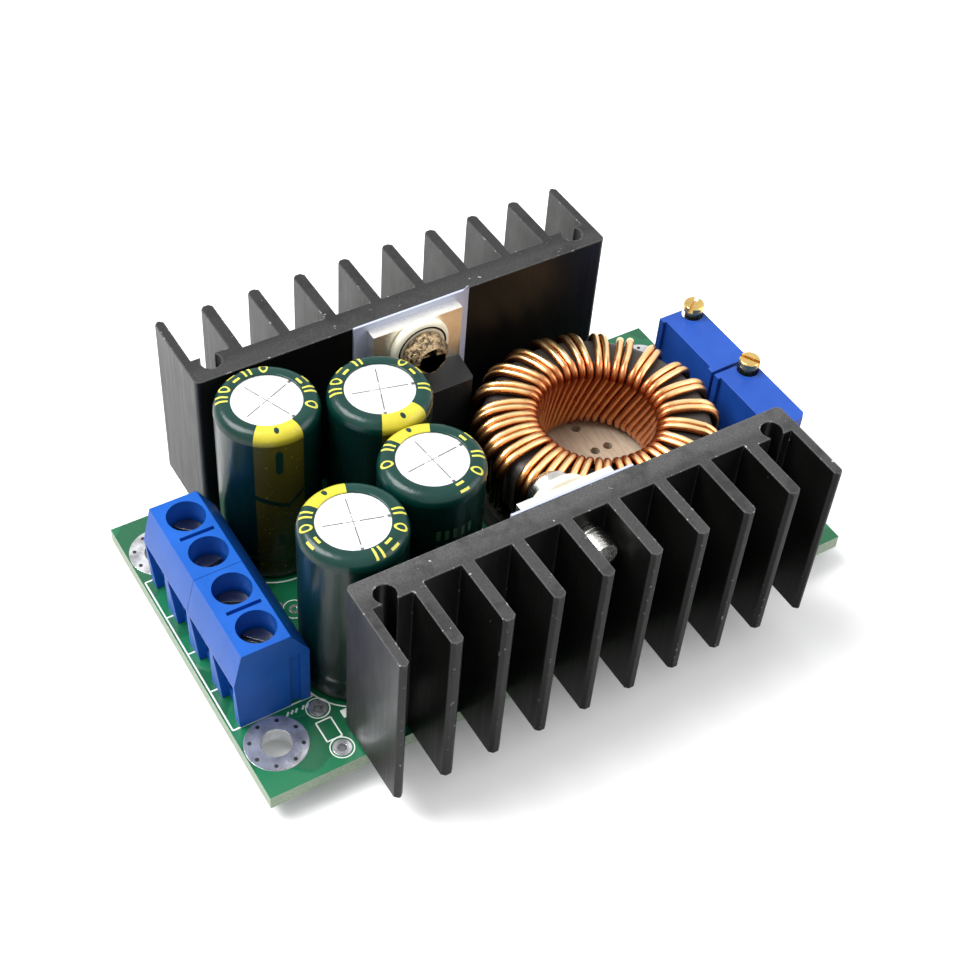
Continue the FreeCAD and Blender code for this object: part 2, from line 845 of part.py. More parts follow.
def terminal_cage(number, y):
    """A folded steel box, open front and back, with a thick threaded top and a solder pin."""
    label = "terminal_cage_%d" % number
    body = new_body(label)
    side = S.cage_wide / 2
    floor = S.cage_low + S.cage_floor
    section = sketch_on(body, "YZ_Plane", cage_back())
    draw_box(section, -side, S.cage_low, side, floor + S.cage_window + S.cage_plate)
    pad(body, section, S.cage_deep)
    window = sketch_on(body, "YZ_Plane", cage_back())
    draw_box(window, S.cage_wall - side, floor, side - S.cage_wall, floor + S.cage_window)
    pocket(body, window, S.cage_deep, flip=True)
    thread = sketch_on(body, "XY_Plane", floor + S.cage_window + S.cage_plate)
    draw_circle(thread, S.well_centre, 0, S.terminal_screw_wide + 2 * S.terminal_screw_room)
    pocket(body, thread, S.cage_plate)
    leg = sketch_on(body, "XY_Plane", -S.board_thick)
    draw_box(leg, S.well_centre - S.cage_pin_thick / 2, -S.cage_pin_wide / 2,
             S.well_centre + S.cage_pin_thick / 2, S.cage_pin_wide / 2)
    pad(body, leg, S.board_thick + floor)
    place(body, terminal_x(), y, S.board_thick)
    lead_hole(terminal_x() + S.well_centre, y, diagonal(S.cage_pin_wide, S.cage_pin_thick))


def terminal_clamp(number, y):
    """A flat plate under the screw, its front edge turned down over the wire."""
    body = new_body("terminal_clamp_%d" % number)
    wide = S.cage_wide - 2 * S.cage_wall - 2 * S.clamp_room
    top = S.cage_low + S.cage_floor + S.cage_window - S.clamp_room
    front = cage_back() + S.clamp_room
    end = cage_back() + S.cage_deep - S.clamp_room
    section = sketch_on(body, "XZ_Plane", -wide / 2)
    under = top - S.clamp_thick
    lip_back = front + S.clamp_thick
    draw_outline(section, [
        (front, under - S.clamp_lip), (lip_back, under - S.clamp_lip), (lip_back, under),
        (end, under), (end, top), (front, top)])
    pad(body, section, wide)
    place(body, terminal_x(), y, S.board_thick)


def terminal_screw(number, y, turn):
    body = new_body("terminal_screw_%d" % number)
    plate_low = S.cage_low + S.cage_floor + S.cage_window
    head_top = S.terminal_high - S.terminal_head_drop
    head_low = head_top - S.terminal_head_high
    shank = S.terminal_screw_wide / 2
    head = S.terminal_head_wide / 2
    section = sketch_on(body, "XZ_Plane")
    draw_outline(section, [
        (0, plate_low), (shank, plate_low), (shank, head_low), (head, head_low),
        (head, head_top), (0, head_top)])
    revolve(body, section)
    slot = sketch_on(body, "XY_Plane", head_top)
    draw_box(slot, -head, -S.terminal_slot_wide / 2, head, S.terminal_slot_wide / 2)
    pocket(body, slot, S.terminal_slot_deep)
    place(body, terminal_x() + S.well_centre, y, S.board_thick, Rotation(UP, turn))


# Multi-turn trimmers, each in a frame with its middle at x = y = 0

def trimmer_screw_spot():
    x = S.trimmer_thick / 2 - S.trimmer_screw_inset
    y = S.trimmer_long / 2 - S.trimmer_screw_end
    return x, y


def trimmer(label, middle, slot_turn):
    centre_x = S.board_long / 2 - S.trimmer_edge - S.trimmer_thick / 2
    long = S.trimmer_long / 2
    thick = S.trimmer_thick / 2
    body = new_body(label + "_housing")
    outline = sketch_on(body, "XY_Plane", S.trimmer_foot)
    inner = S.trimmer_recess - thick
    draw_outline(outline, [
        (-thick, -long), (thick - S.trimmer_chamfer, -long), (thick, S.trimmer_chamfer - long),
        (thick, long), (-thick, long), (-thick, long - S.trimmer_post), (inner, long - S.trimmer_post),
        (inner, S.trimmer_post - long), (-thick, S.trimmer_post - long)])
    top = S.trimmer_foot + S.trimmer_high
    pad(body, outline, S.trimmer_high)
    feet = sketch_on(body, "XY_Plane")
    foot = S.trimmer_foot_long
    for side in (-1, 1):
        edge = long - S.trimmer_post
        low, high = (edge - foot, edge) if side > 0 else (-edge, foot - edge)
        draw_box(feet, inner, low, thick - S.trimmer_chamfer, high)
    pad(body, feet, S.trimmer_foot)
    screw_x, screw_y = trimmer_screw_spot()
    bore = sketch_on(body, "XY_Plane", top)
    draw_circle(bore, screw_x, screw_y, S.trimmer_screw_wide + 2 * S.trimmer_screw_room)
    pocket(body, bore, S.trimmer_screw_sunk + S.trimmer_screw_room)
    place(body, centre_x, middle, S.board_thick)

    screw = new_body(label + "_screw")
    shaft = sketch_on(screw, "XY_Plane", top - S.trimmer_screw_sunk)
    draw_circle(shaft, 0, 0, S.trimmer_screw_wide)
    pad(screw, shaft, S.trimmer_screw_sunk + S.trimmer_screw_rise)
    slot = sketch_on(screw, "XY_Plane", top + S.trimmer_screw_rise)
    slot_half = S.trimmer_slot_wide / 2
    draw_box(slot, -S.trimmer_screw_wide, -slot_half, S.trimmer_screw_wide, slot_half)
    pocket(screw, slot, S.trimmer_slot_deep)
    place(screw, centre_x + screw_x, middle + screw_y, S.board_thick, Rotation(UP, slot_turn))

    pins = []
    for number in (-1, 0, 1):
        item = new_wire("pin", S.trimmer_pin_wide, S.board_thick + S.trimmer_foot)
        pins.append(place(item, centre_x, middle + number * S.trimmer_pin_gap, 0))
        lead_hole(centre_x, middle + number * S.trimmer_pin_gap, S.trimmer_pin_wide)
    group(label + "_pins", pins)


# Underside

def tapered_block(name, foot, tip, high):
    """A square block that hangs below its origin and narrows to its tip."""
    item = doc.addObject("Part::Wedge", name)
    ends = (("Xmin", -foot / 2), ("Xmax", foot / 2), ("Zmin", -foot / 2), ("Zmax", foot / 2),
            ("X2min", -tip / 2), ("X2max", tip / 2), ("Z2min", -tip / 2), ("Z2max", tip / 2),
            ("Ymin", 0), ("Ymax", high))
    for name, size in ends:
        tie(item, name, size)
    return item


def solder_joints():
    """An eight-sided cone of solder round each lead's end, large ones under the heatsink pins."""
    cones = []
    for x, y, lead_wide, high in board_holes:
        foot = lead_wide + 2 * S.solder_spread
        hang = Rotation(EAST, -90)
        cone = doc.addObject("Part::Common", "solder")
        cone.Base = place(tapered_block("solder_block", foot, S.solder_tip_wide, high), x, y, 0, hang)
        cone.Tool = place(tapered_block("solder_block", foot, S.solder_tip_wide, high), x, y, 0,
                          Rotation(UP, 45) * hang)
        cones.append(cone)
    group("solder_joints", cones)


def leaded_chip(label, x, y, long, wide, high, sides):
    """A flat moulding on the underside with a row of feet on each named side."""
    case = new_box("case", long, wide, high)
    place(case, x - long / 2, y - wide / 2, -high - S.chip_lead_thick / 2)
    members = [case]
    for side, count in sides:
        for number in range(count):
            foot = new_box("foot", S.chip_lead_wide, S.chip_lead_long, S.chip_lead_thick)
            foot_x = x + S.chip_lead_gap * (number - (count - 1) / 2) - S.chip_lead_wide / 2
            foot_y = y + wide / 2 if side > 0 else y - wide / 2 - S.chip_lead_long
            members.append(place(foot, foot_x, foot_y, -S.chip_lead_thick))
    group(label, members)


def sense_resistor(x, y):
    item = new_box("sense_resistor", S.sense_long, S.sense_wide, S.sense_high)
    item.Label = "sense_resistor"
    parts.append(place(item, x - S.sense_long / 2, y - S.sense_wide / 2, -S.sense_high))


def corners_round(x, step, row):
    """Four spots round x on the board's middle line."""
    return [(x + side * step, row * end) for side in (-1, 1) for end in (-1, 1)]


def chip_passives(spots):
    """Chip capacitors and resistors, each with its long side across the board."""
    members = []
    for x, y in spots:
        item = new_box("passive", S.passive_wide, S.passive_long, S.passive_high)
        members.append(place(item, x - S.passive_wide / 2, y - S.passive_long / 2, -S.passive_high))
    group("chip_passives", members)


# Circuit board

def circuit_board():
    slab = new_body("board_slab", listed=False)
    outline = sketch_on(slab, "XY_Plane")
    draw_box(outline, -S.board_long / 2, -S.board_wide / 2, S.board_long / 2, S.board_wide / 2)
    for x in (-S.mount_gap_long / 2, S.mount_gap_long / 2):
        for y in (-S.mount_gap_wide / 2, S.mount_gap_wide / 2):
            draw_circle(outline, x, y, S.mount_hole_wide)
    pad(slab, outline, S.board_thick)
    drills = [(x, y, lead_wide + 2 * S.lead_room) for x, y, lead_wide, _ in board_holes]
    for from_left, from_front in SPARE_HOLES:
        drills.append((from_left - S.board_long / 2, from_front - S.board_wide / 2, S.spare_hole_wide))
    tools = [place(new_wire("drill", wide, S.board_thick), x, y, 0) for x, y, wide in drills]
    holes = doc.addObject("Part::Compound", "holes")
    holes.Links = tools
    board = doc.addObject("Part::Cut", "circuit_board")
    board.Label = "circuit_board"
    board.Base = slab
    board.Tool = holes
    parts.append(board)


front_face = -S.sink_face
rear_face = S.sink_face
heatsink("front_heatsink", S.front_sink_shift, front_face, Rotation(UP, 180))
heatsink("rear_heatsink", S.rear_sink_shift, rear_face, Rotation())
sink_pins("front_heatsink_pins", S.front_sink_shift, front_face, -1)
sink_pins("rear_heatsink_pins", S.rear_sink_shift, rear_face, 1)
joggle = S.device_lead_joggle
power_device("front", "regulator", 1, S.front_sink_shift, front_face, S.regulator_lead_gap,
             [None, joggle, None, joggle, None])
power_device("rear", "rectifier", -1, S.rear_sink_shift, rear_face, S.rectifier_lead_gap,
             [None, None, None])
inductor_base()
inductor_core()
inductor_winding()
capacitor("rear_left", S.cap_rear_left_x, S.cap_rear_left_y, -112)
capacitor("rear_right", S.cap_rear_right_x, S.cap_rear_right_y, -84)
capacitor("front_right", S.cap_front_right_x, S.cap_front_right_y, 92)
capacitor("front_left", S.cap_front_left_x, S.cap_front_left_y, 102)
terminal_housing("input_terminal_housing", S.pole_gap, False)
terminal_housing("output_terminal_housing", -S.pole_gap, True)
for index, slot_turn in enumerate((-44, 9, -25, -48)):
    pole_y = S.pole_gap * ((POLE_COUNT - 1) / 2 - index)
    terminal_cage(index + 1, pole_y)
    terminal_clamp(index + 1, pole_y)
    terminal_screw(index + 1, pole_y, slot_turn)
trimmer_step = (S.trimmer_long + S.trimmer_gap) / 2
trimmer("rear_trimmer", trimmer_step + S.trimmer_shift, 35)
trimmer("front_trimmer", S.trimmer_shift - trimmer_step, -60)
solder_joints()
leaded_chip("op_amp_chip", S.op_amp_x, 0, S.chip_long, S.chip_wide, S.chip_high, ((1, 4), (-1, 4)))
leaded_chip("reference_regulator_chip", S.reference_chip_x, S.reference_chip_y,
            S.small_chip_long, S.small_chip_wide, S.small_chip_high, ((-1, 3),))
sense_resistor(S.sense_x, 0)
chip_passives(corners_round(S.op_amp_x, S.op_amp_passive_step, S.op_amp_passive_row)
              + corners_round(S.reference_chip_x, S.reference_passive_step, S.reference_passive_row))
circuit_board()

doc.recompute()

for item in doc.Objects:
    if "Invalid" in item.State or "Error" in item.State:
        raise RuntimeError("%s did not build: %s" % (item.Label, item.State))

os.makedirs("parts", exist_ok=True)
for item in parts:
    shape = item.Shape
    if shape.isNull() or not shape.isValid() or not shape.Solids:
        raise RuntimeError("%s has no sound shape" % item.Label)
for item in parts:
    item.Shape.exportStep("parts/%s.step" % item.Label)
print("sub-parts written:", len(parts))
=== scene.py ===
import json
import math
import random

import bmesh
import bpy
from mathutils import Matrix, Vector


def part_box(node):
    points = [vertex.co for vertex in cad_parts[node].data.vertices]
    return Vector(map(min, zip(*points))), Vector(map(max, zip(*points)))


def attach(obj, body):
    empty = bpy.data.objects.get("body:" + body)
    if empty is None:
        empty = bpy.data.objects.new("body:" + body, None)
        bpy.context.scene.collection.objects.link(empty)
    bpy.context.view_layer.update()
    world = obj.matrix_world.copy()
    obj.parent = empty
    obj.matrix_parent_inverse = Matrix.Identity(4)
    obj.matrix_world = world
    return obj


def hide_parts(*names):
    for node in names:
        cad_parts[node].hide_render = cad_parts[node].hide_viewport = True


MM = 0.001

# The photograph's camera, in the frame of the board
CAMERA_AT = Vector((-66.41, -94.17, 133.56)) * MM
CAMERA_TURN = (math.radians(42.814), math.radians(-2.293), math.radians(-30.194))
CAMERA_LENS = 63.8
CAMERA_SHIFT = (0.05, -0.0021)

# All sizes are millimetres and degrees, where no other unit is named

# The board and the ring, where the CAD has them
BOARD_TOP = 1.6
HOLES_AT = (29.7, 13.1)
RING_AT = (13.45, 0.0)

# The winding: direction of each turn in the photograph, and the section that its two wires run round
TURNS = (200, 210, 222, 236, 252, 266, 282, 301, 319, 338, 354, 369,
         386, 403, 417, 433, 448, 464, 480, 496, 512, 523, 534, 545)
STRAND = 0.4
SPREAD = 2.0
COIL_IN = 6.3
COIL_FOOT = 5.95
COIL_OUT = 12.45
COIL_LOW = 5.25
COIL_HIGH = 13.05
OUTER_BEND = 2.3
INNER_BEND = 1.35
LEAD = ((11.0, -0.6), (11.0, 2.0))

# Capacitors: the can from the CAD, and the sleeve and the top as they look
CAN_TOP = 21.45
DISC_TOP = 21.74
DISC_RADIUS = 3.95
SLEEVE_RADIUS = 5.05
SLEEVE_INSIDE = 4.93
SLEEVE_LOW = 1.9
SLEEVE_TOP = 21.9
SHOULDER = 1.05
WINDOW_RADIUS = 3.4
STRIPE_HALF = 27.5

# Each capacitor: its middle, and the directions of its stripe, its two score lines and its marks
CAPACITORS = {
    "rear_left": ((-19.05, 8.95), -104, (-67, 23), (152, 134, 111, 90, 68, 12, -8, -36)),
    "rear_right": ((-9.0, 5.35), -88, (-14, -110), (158, 140, 118, 92, 30, 8, -24)),
    "front_right": ((-9.2, -4.85), 92, (-84, 7), (132, 162, -81, -20, -48, 14)),
    "front_left": ((-19.1, -8.05), 100, (-104, -16), (142, 164, 188, -12, -38, -66, -88)),
}

# How deep print and plating are sunk into what carries them, and how far they stand out of it
INK_SUNK = 0.01
INK_PROUD = 0.02
PLATING = 0.03
MARK_SUNK = 0.05
MARK_PROUD = 0.02
LINE_WIDE = 0.16

# A tab screw's head is smaller than in the CAD from this reach on, and the rear screw's end is shorter
HEAD_FROM = 1.6
HEAD_SHARE = 0.86
REAR_SHANK_CUT = 1.7

# Half of the floor's side in metres, and the distances between which it fades to plain white
FLOOR_HALF = 1.5
FLOOR_FADE = (160.0, 320.0)


# Node graphs

class Graph:
    """A material and short calls that add nodes to it. Lengths in its inputs are millimetres."""

    def __init__(self, name):
        self.material = bpy.data.materials.new(name)
        self.material.use_nodes = True
        self.nodes = self.material.node_tree.nodes
        self.links = self.material.node_tree.links
        self.nodes.clear()
        self.output = self.nodes.new("ShaderNodeOutputMaterial")
        self.surface = self.nodes.new("ShaderNodeBsdfPrincipled")
        self.links.new(self.surface.outputs[0], self.output.inputs["Surface"])
        coordinates = self.nodes.new("ShaderNodeTexCoord")
        self.place = self.vector("MULTIPLY", coordinates.outputs["Object"], (1 / MM, 1 / MM, 1 / MM))
        self.normal = self.nodes.new("ShaderNodeNewGeometry").outputs["Normal"]

    def put(self, socket, value):
        if isinstance(value, bpy.types.NodeSocket):
            self.links.new(value, socket)
        else:
            socket.default_value = value

    def set(self, **values):
        """Fills the shader's own sockets, by their names with underscores."""
        for name, value in values.items():
            if name.endswith("color") and not isinstance(value, bpy.types.NodeSocket):
                value = (*value[:3], 1.0)
            self.put(self.surface.inputs[name.replace("_", " ").title().replace("Ior", "IOR")], value)

    def vector(self, operation, first, second):
        node = self.nodes.new("ShaderNodeVectorMath")
        node.operation = operation
        self.put(node.inputs[0], first)
        self.put(node.inputs[1], second)
        return node.outputs["Value"] if operation in ("DOT_PRODUCT", "LENGTH") else node.outputs["Vector"]

    def math(self, operation, first, second=0.0, clamp=False):
        node = self.nodes.new("ShaderNodeMath")
        node.operation = operation
        node.use_clamp = clamp
        self.put(node.inputs[0], first)
        self.put(node.inputs[1], second)
        return node.outputs[0]

    def axis(self, vector, name):
        node = self.nodes.new("ShaderNodeSeparateXYZ")
        self.put(node.inputs[0], vector)
        return node.outputs[name]

    def stretch(self, vector, x=1.0, y=1.0, z=1.0):
        return self.vector("MULTIPLY", vector, (x, y, z))

    def ring_reach(self):
        """Distance from the ring's upright axis."""
        out = self.vector("SUBTRACT", self.place, (*RING_AT, 0.0))
        return self.vector("LENGTH", self.stretch(out, 1.0, 1.0, 0.0), (0.0, 0.0, 0.0))

    def noise(self, scale, detail=3.0, rough=0.5, vector=None):
        """Cloudy noise from 0 to 1, with that many blotches per millimetre."""
        node = self.nodes.new("ShaderNodeTexNoise")
        self.put(node.inputs["Vector"], vector or self.place)
        self.put(node.inputs["Scale"], scale)
        self.put(node.inputs["Detail"], detail)
        self.put(node.inputs["Roughness"], rough)
        return node.outputs["Fac"]

    def ramp(self, value, low, high, start=0.0, end=1.0):
        """Value rescaled from low..high to start..end, and held there."""
        node = self.nodes.new("ShaderNodeMapRange")
        self.put(node.inputs["Value"], value)
        self.put(node.inputs["From Min"], low)
        self.put(node.inputs["From Max"], high)
        self.put(node.inputs["To Min"], start)
        self.put(node.inputs["To Max"], end)
        return node.outputs[0]

    def mix(self, share, first, second):
        node = self.nodes.new("ShaderNodeMix")
        node.data_type = "RGBA"
        sockets = [s for s in node.inputs if s.enabled]
        self.put(sockets[0], share)
        for socket, color in zip(sockets[1:], (first, second)):
            self.put(socket, color if isinstance(color, bpy.types.NodeSocket) else (*color[:3], 1.0))
        return next(s for s in node.outputs if s.enabled)

    def edges(self, radius):
        """1 along the outer edges of the form and 0 on its flats."""
        soft = self.nodes.new("ShaderNodeBevel")
        soft.samples = 4
        self.put(soft.inputs["Radius"], radius * MM)
        alike = self.vector("DOT_PRODUCT", soft.outputs[0], self.normal)
        return self.ramp(alike, 0.999, 0.93)

    def bump(self, height, depth, soft_edge=0.0):
        """Height from 0 to 1 as relief of that many millimetres, over edges softened by a radius."""
        node = self.nodes.new("ShaderNodeBump")
        self.put(node.inputs["Height"], height)
        self.put(node.inputs["Distance"], depth * MM)
        if soft_edge:
            edge = self.nodes.new("ShaderNodeBevel")
            edge.samples = 4
            self.put(edge.inputs["Radius"], soft_edge * MM)
            self.put(node.inputs["Normal"], edge.outputs[0])
        self.put(self.surface.inputs["Normal"], node.outputs[0])


def plain_metal(name, color, rough, soft_edge=0.06, dirt=0.72, metal=1.0):
    """Bright metal with faint cloudy tarnish and fine scratches."""
    g = Graph(name)
    cloud = g.noise(0.6, 4)
    fine = g.noise(14.0, 2, vector=g.stretch(g.place, 1.0, 0.25, 1.0))
    darker = tuple(dirt * c for c in color)
    g.set(base_color=g.mix(g.ramp(cloud, 0.35, 0.7), color, darker), metallic=metal,
          roughness=g.ramp(fine, 0.3, 0.8, rough * 0.8, rough * 1.5))
    g.bump(fine, 0.01, soft_edge)
    return g.material


def plain_plastic(name, color, rough, grain=0.01, soft_edge=0.06, coat=0.0, shine=0.5):
    """Moulded plastic with a faint change of colour and a fine moulded grain."""
    g = Graph(name)
    cloud = g.noise(0.25, 3)
    fine = g.noise(9.0, 2)
    lighter = tuple(min(1.0, 1.18 * c + 0.004) for c in color)
    g.set(base_color=g.mix(g.ramp(cloud, 0.3, 0.7), color, lighter),
          roughness=g.ramp(fine, 0.3, 0.7, rough * 0.85, rough * 1.2),
          coat_weight=coat, specular_ior_level=shine)
    g.bump(fine, grain, soft_edge)
    return g.material


def board_lacquer():
    """Green lacquer over copper, which shows faintly through it. The cut edge is pale glass fibre."""
    g = Graph("board_lacquer")
    flat = g.stretch(g.place, 1.0, 1.0, 0.0)
    tracks = g.noise(0.12, 1, vector=flat)
    mottle = g.noise(2.5, 3, vector=flat)
    pour = g.ramp(tracks, 0.49, 0.51)
    green = g.mix(pour, (0.0025, 0.09, 0.034), (0.005, 0.14, 0.056))
    green = g.mix(g.ramp(mottle, 0.3, 0.8, 0.0, 0.25), green, (0.008, 0.19, 0.085))
    weave = g.noise(3.0, 2, vector=g.stretch(g.place, 1.0, 1.0, 9.0))
    fibre = g.mix(g.ramp(weave, 0.35, 0.65), (0.5, 0.56, 0.45), (0.25, 0.36, 0.24))
    side = g.math("LESS_THAN", g.math("ABSOLUTE", g.axis(g.normal, "Z")), 0.5)
    g.set(base_color=g.mix(side, green, fibre),
          roughness=g.math("ADD", 0.28, g.math("MULTIPLY", side, 0.4)),
          coat_weight=0.1, coat_roughness=0.12)
    g.bump(pour, 0.03)
    return g.material


def black_anodised(name, reach, high, dust_and_sheen, pale, dust_and_sheen_to):
    """Black anodised extrusion with fine drawn lines, paler sawn ends and worn specks. Its fins reach out to
    reach along Y and up to high. Faces that look left are dusty and carry a painted sheen that grows higher
    up, as far along X as its last argument."""
    g = Graph(name)
    height = g.axis(g.place, "Z")
    out = g.math("ABSOLUTE", g.axis(g.place, "Y"))
    drawn = g.noise(3.0, 4, vector=g.stretch(g.place, 1.0, 1.0, 0.03))

    cloud = g.noise(0.15, 3)
    body = g.mix(g.ramp(cloud, 0.3, 0.75), (0.003, 0.003, 0.0028), (0.006, 0.0058, 0.0056))

    sawn = g.noise(7.0, 3, 0.65)
    patchy = g.noise(0.35, 4, 0.6)
    cut = g.mix(g.ramp(sawn, 0.35, 0.7), [pale * c for c in (0.6, 0.6, 0.61)],
                [pale * c for c in (1.15, 1.15, 1.16)])
    cut = g.mix(g.ramp(patchy, 0.5, 0.68, 0.0, 0.55), cut, (0.015, 0.015, 0.015))
    cut = g.mix(g.ramp(out, reach - 8.5, reach - 7.5, 0.0, 0.4), cut, (0.012, 0.012, 0.012))
    top = g.ramp(g.math("ABSOLUTE", g.axis(g.normal, "Z")), 0.75, 0.95)
    color = g.mix(top, body, cut)

    # Dust and painted sheen: faces that look left, towards the key light, are made lighter, more so higher up
    left = g.math("MULTIPLY", g.ramp(g.axis(g.normal, "X"), -0.6, -0.95),
                  g.ramp(height, 4.0, high, dust_and_sheen * 0.4, dust_and_sheen))
    left = g.math("MULTIPLY", left, g.math("LESS_THAN", g.axis(g.place, "X"), dust_and_sheen_to))
    haze = g.ramp(g.noise(0.5, 4, 0.6, g.stretch(g.place, 1.0, 1.0, 0.5)), 0.25, 0.75, 0.5, 1.0)
    color = g.mix(g.math("MULTIPLY", left, haze), color, (0.13, 0.13, 0.127))

    near_top = g.ramp(height, high - 1.0, high)
    near_tip = g.ramp(out, reach - 0.6, reach)
    edge = g.edges(0.22)
    specks = g.noise(1.7, 4, 0.65)
    pull = g.math("ADD", g.math("MULTIPLY", g.math("MAXIMUM", near_top, near_tip), 0.05),
                  g.math("MULTIPLY", edge, 0.095))
    worn = g.ramp(g.math("ADD", specks, pull), 0.755, 0.775)
    color = g.mix(g.math("MULTIPLY", edge, g.ramp(near_top, 0.2, 1.0, 0.1, 0.5)), color, (0.16, 0.16, 0.16))
    g.set(base_color=g.mix(worn, color, (0.55, 0.55, 0.54)),
          roughness=g.ramp(drawn, 0.3, 0.75, 0.3, 0.44), metallic=0.0, specular_ior_level=0.14)
    g.bump(g.math("ADD", drawn, g.math("MULTIPLY", worn, -0.6)), 0.015, 0.12)
    return g.material


def sleeve_film(name, low, high, rough, side):
    """Printed shrunk film with faint upright ripples. Its colour carries painted shade: it is brightest on
    the shoulder, which faces the overhead light, and below the shoulder it keeps a share of its colour, side,
    which falls further towards the foot."""
    g = Graph(name)
    cloud = g.noise(0.3, 3)
    ripple = g.noise(1.2, 2, vector=g.stretch(g.place, 1.0, 1.0, 0.15))
    speck = g.ramp(g.noise(5.0, 3, 0.6), 0.68, 0.74)
    base = g.mix(g.ramp(cloud, 0.3, 0.7), low, high)
    height = g.axis(g.place, "Z")
    # Painted shade: below the shoulder only the share side of the colour is kept, and less again towards the
    # foot
    foot = SLEEVE_TOP - SHOULDER
    share = g.math("MULTIPLY", g.ramp(height, foot - 0.3, foot + 0.5, side, 1.0),
                   g.ramp(height, SLEEVE_LOW + 4.0, foot - 1.0, 0.3, 1.0))
    base = g.mix(share, (0.0, 0.0, 0.0), base)
    g.set(base_color=g.mix(speck, base, tuple(1.6 * c + 0.01 for c in high)),
          roughness=rough, coat_weight=0.1, coat_roughness=0.12, specular_ior_level=0.28)
    g.bump(ripple, 0.04)
    return g.material


def copper_enamel():
    """Clear enamel over copper wire, with painted light: a pale painted highlight where it looks up, red
    painted shade on its sides and inside the ring, and dark painted shade on its outside below the top.
    """
    g = Graph("copper_enamel")
    cloud = g.noise(0.8, 3)
    reach = g.ring_reach()
    # Painted shade inside the ring: wires nearer the middle take a darker red
    inner = g.ramp(reach, 8.0, 6.9)
    bright = g.mix(g.ramp(cloud, 0.3, 0.7), (0.95, 0.5, 0.17), (1.0, 0.62, 0.26))
    # Painted highlight: faces that look up are paler
    bright = g.mix(g.ramp(g.axis(g.normal, "Z"), 0.8, 1.0), bright, (1.0, 0.79, 0.43))
    # Painted shade: faces that look sideways are darker and redder
    bright = g.mix(g.ramp(g.axis(g.normal, "Z"), 0.8, 0.2), bright, (0.6, 0.19, 0.06))
    inside_shade = g.mix(g.ramp(cloud, 0.3, 0.7), (0.5, 0.17, 0.06), (0.6, 0.25, 0.1))
    # Painted shade on the outside of the winding, below its top
    outer = g.math("MULTIPLY", g.ramp(reach, 10.6, 11.9), g.ramp(g.axis(g.place, "Z"), 12.9, 11.0))
    color = g.mix(outer, g.mix(inner, bright, inside_shade), (0.07, 0.03, 0.013))
    g.set(base_color=color, metallic=1.0, roughness=g.ramp(cloud, 0.3, 0.8, 0.26, 0.34),
          coat_weight=0.15, coat_roughness=0.2)
    return g.material


def stained_bronze():
    """The rear screw's head: brown flux stains and bright rubbed spots."""
    g = Graph("dark_bronze")
    lumps = g.noise(2.2, 4, 0.65)
    color = g.mix(g.ramp(lumps, 0.4, 0.62), (0.05, 0.03, 0.015), (0.55, 0.4, 0.22))
    g.set(base_color=color, metallic=0.5, roughness=g.ramp(lumps, 0.35, 0.65, 0.42, 0.24))
    g.bump(lumps, 0.35, 0.06)
    return g.material


def base_moulding():
    """Cream moulding with turning marks inside the ring, turned nearly black by painted shade under the
    winding and outside it.
    """
    g = Graph("base_plastic")
    marks = g.noise(2.0, 3, vector=g.stretch(g.place, 2.2, 0.25, 1.0))
    cream = g.mix(g.ramp(marks, 0.3, 0.7), (0.34, 0.28, 0.2), (0.46, 0.39, 0.3))
    # Painted shade: from a little inside the winding outwards the moulding goes nearly black
    shade_under_winding = g.ramp(g.ring_reach(), 6.4, 8.4)
    g.set(base_color=g.mix(shade_under_winding, cream, (0.02, 0.017, 0.014)), roughness=0.5)
    g.bump(marks, 0.02)
    return g.material


# Meshes

def link(name, mesh):
    piece = bpy.data.objects.new(name, mesh)
    bpy.context.scene.collection.objects.link(piece)
    return piece


class Shape:
    """Points and faces gathered from simple forms, which become one new piece."""

    def __init__(self):
        self.points = []
        self.faces = []
        self.paint = []

    def take(self, points, faces, paint=None, at=(0.0, 0.0)):
        """Adds a form, moved by at. paint gives each face's place in the piece's looks."""
        start = len(self.points)
        self.points += [(at[0] + x, at[1] + y, z) for x, y, z in points]
        self.faces += [tuple(start + i for i in face) for face in faces]
        self.paint += paint or [0] * len(faces)
        return self

    def turned(self, profile, sides, at=(0.0, 0.0), turn=None):
        """Adds a profile turned about an axis."""
        points, faces, _ = lathe(profile, sides, turn)
        return self.take(points, faces, at=at)

    def piece(self, name, looks, slot, body="board", smooth=40):
        mesh = bpy.data.meshes.new(name)
        mesh.from_pydata([Vector(p) * MM for p in self.points], [], self.faces)
        for look in looks:
            mesh.materials.append(look)
        for polygon, place in zip(mesh.polygons, self.paint):
            polygon.material_index = place
        work = bmesh.new()
        work.from_mesh(mesh)
        bmesh.ops.recalc_face_normals(work, faces=work.faces)
        work.to_mesh(mesh)
        work.free()
        mesh.shade_smooth()
        mesh.set_sharp_from_angle(angle=math.radians(smooth))
        piece = link(name, mesh)
        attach(piece, body)
        return piece


def lathe(profile, sides, turn=None):
    """Profile of (reach, height) pairs turned about Z, or as turn places it: points, faces and the side and
    row of each face. It closes on the axis where its reach is 0, else on itself."""
    turn = turn or (lambda reach, height, angle: (reach * math.cos(angle), reach * math.sin(angle), height))
    points, rows = [], []
    for reach, height in profile:
        if reach < 1e-9:
            rows.append([len(points)] * sides)
            points.append(turn(0.0, height, 0.0))
        else:
            rows.append(list(range(len(points), len(points) + sides)))
            points += [turn(reach, height, 2 * math.pi * i / sides) for i in range(sides)]
    count = len(rows)
    ring = profile[0][0] > 1e-9
    faces, columns = [], []
    for k in range(count if ring else count - 1):
        near, far = rows[k], rows[(k + 1) % count]
        for i in range(sides):
            j = (i + 1) % sides
            corners = []
            for point in (near[i], near[j], far[j], far[i]):
                if point not in corners:
                    corners.append(point)
            if len(corners) > 2:
                faces.append(tuple(corners))
                columns.append((i, k))
    return points, faces, columns


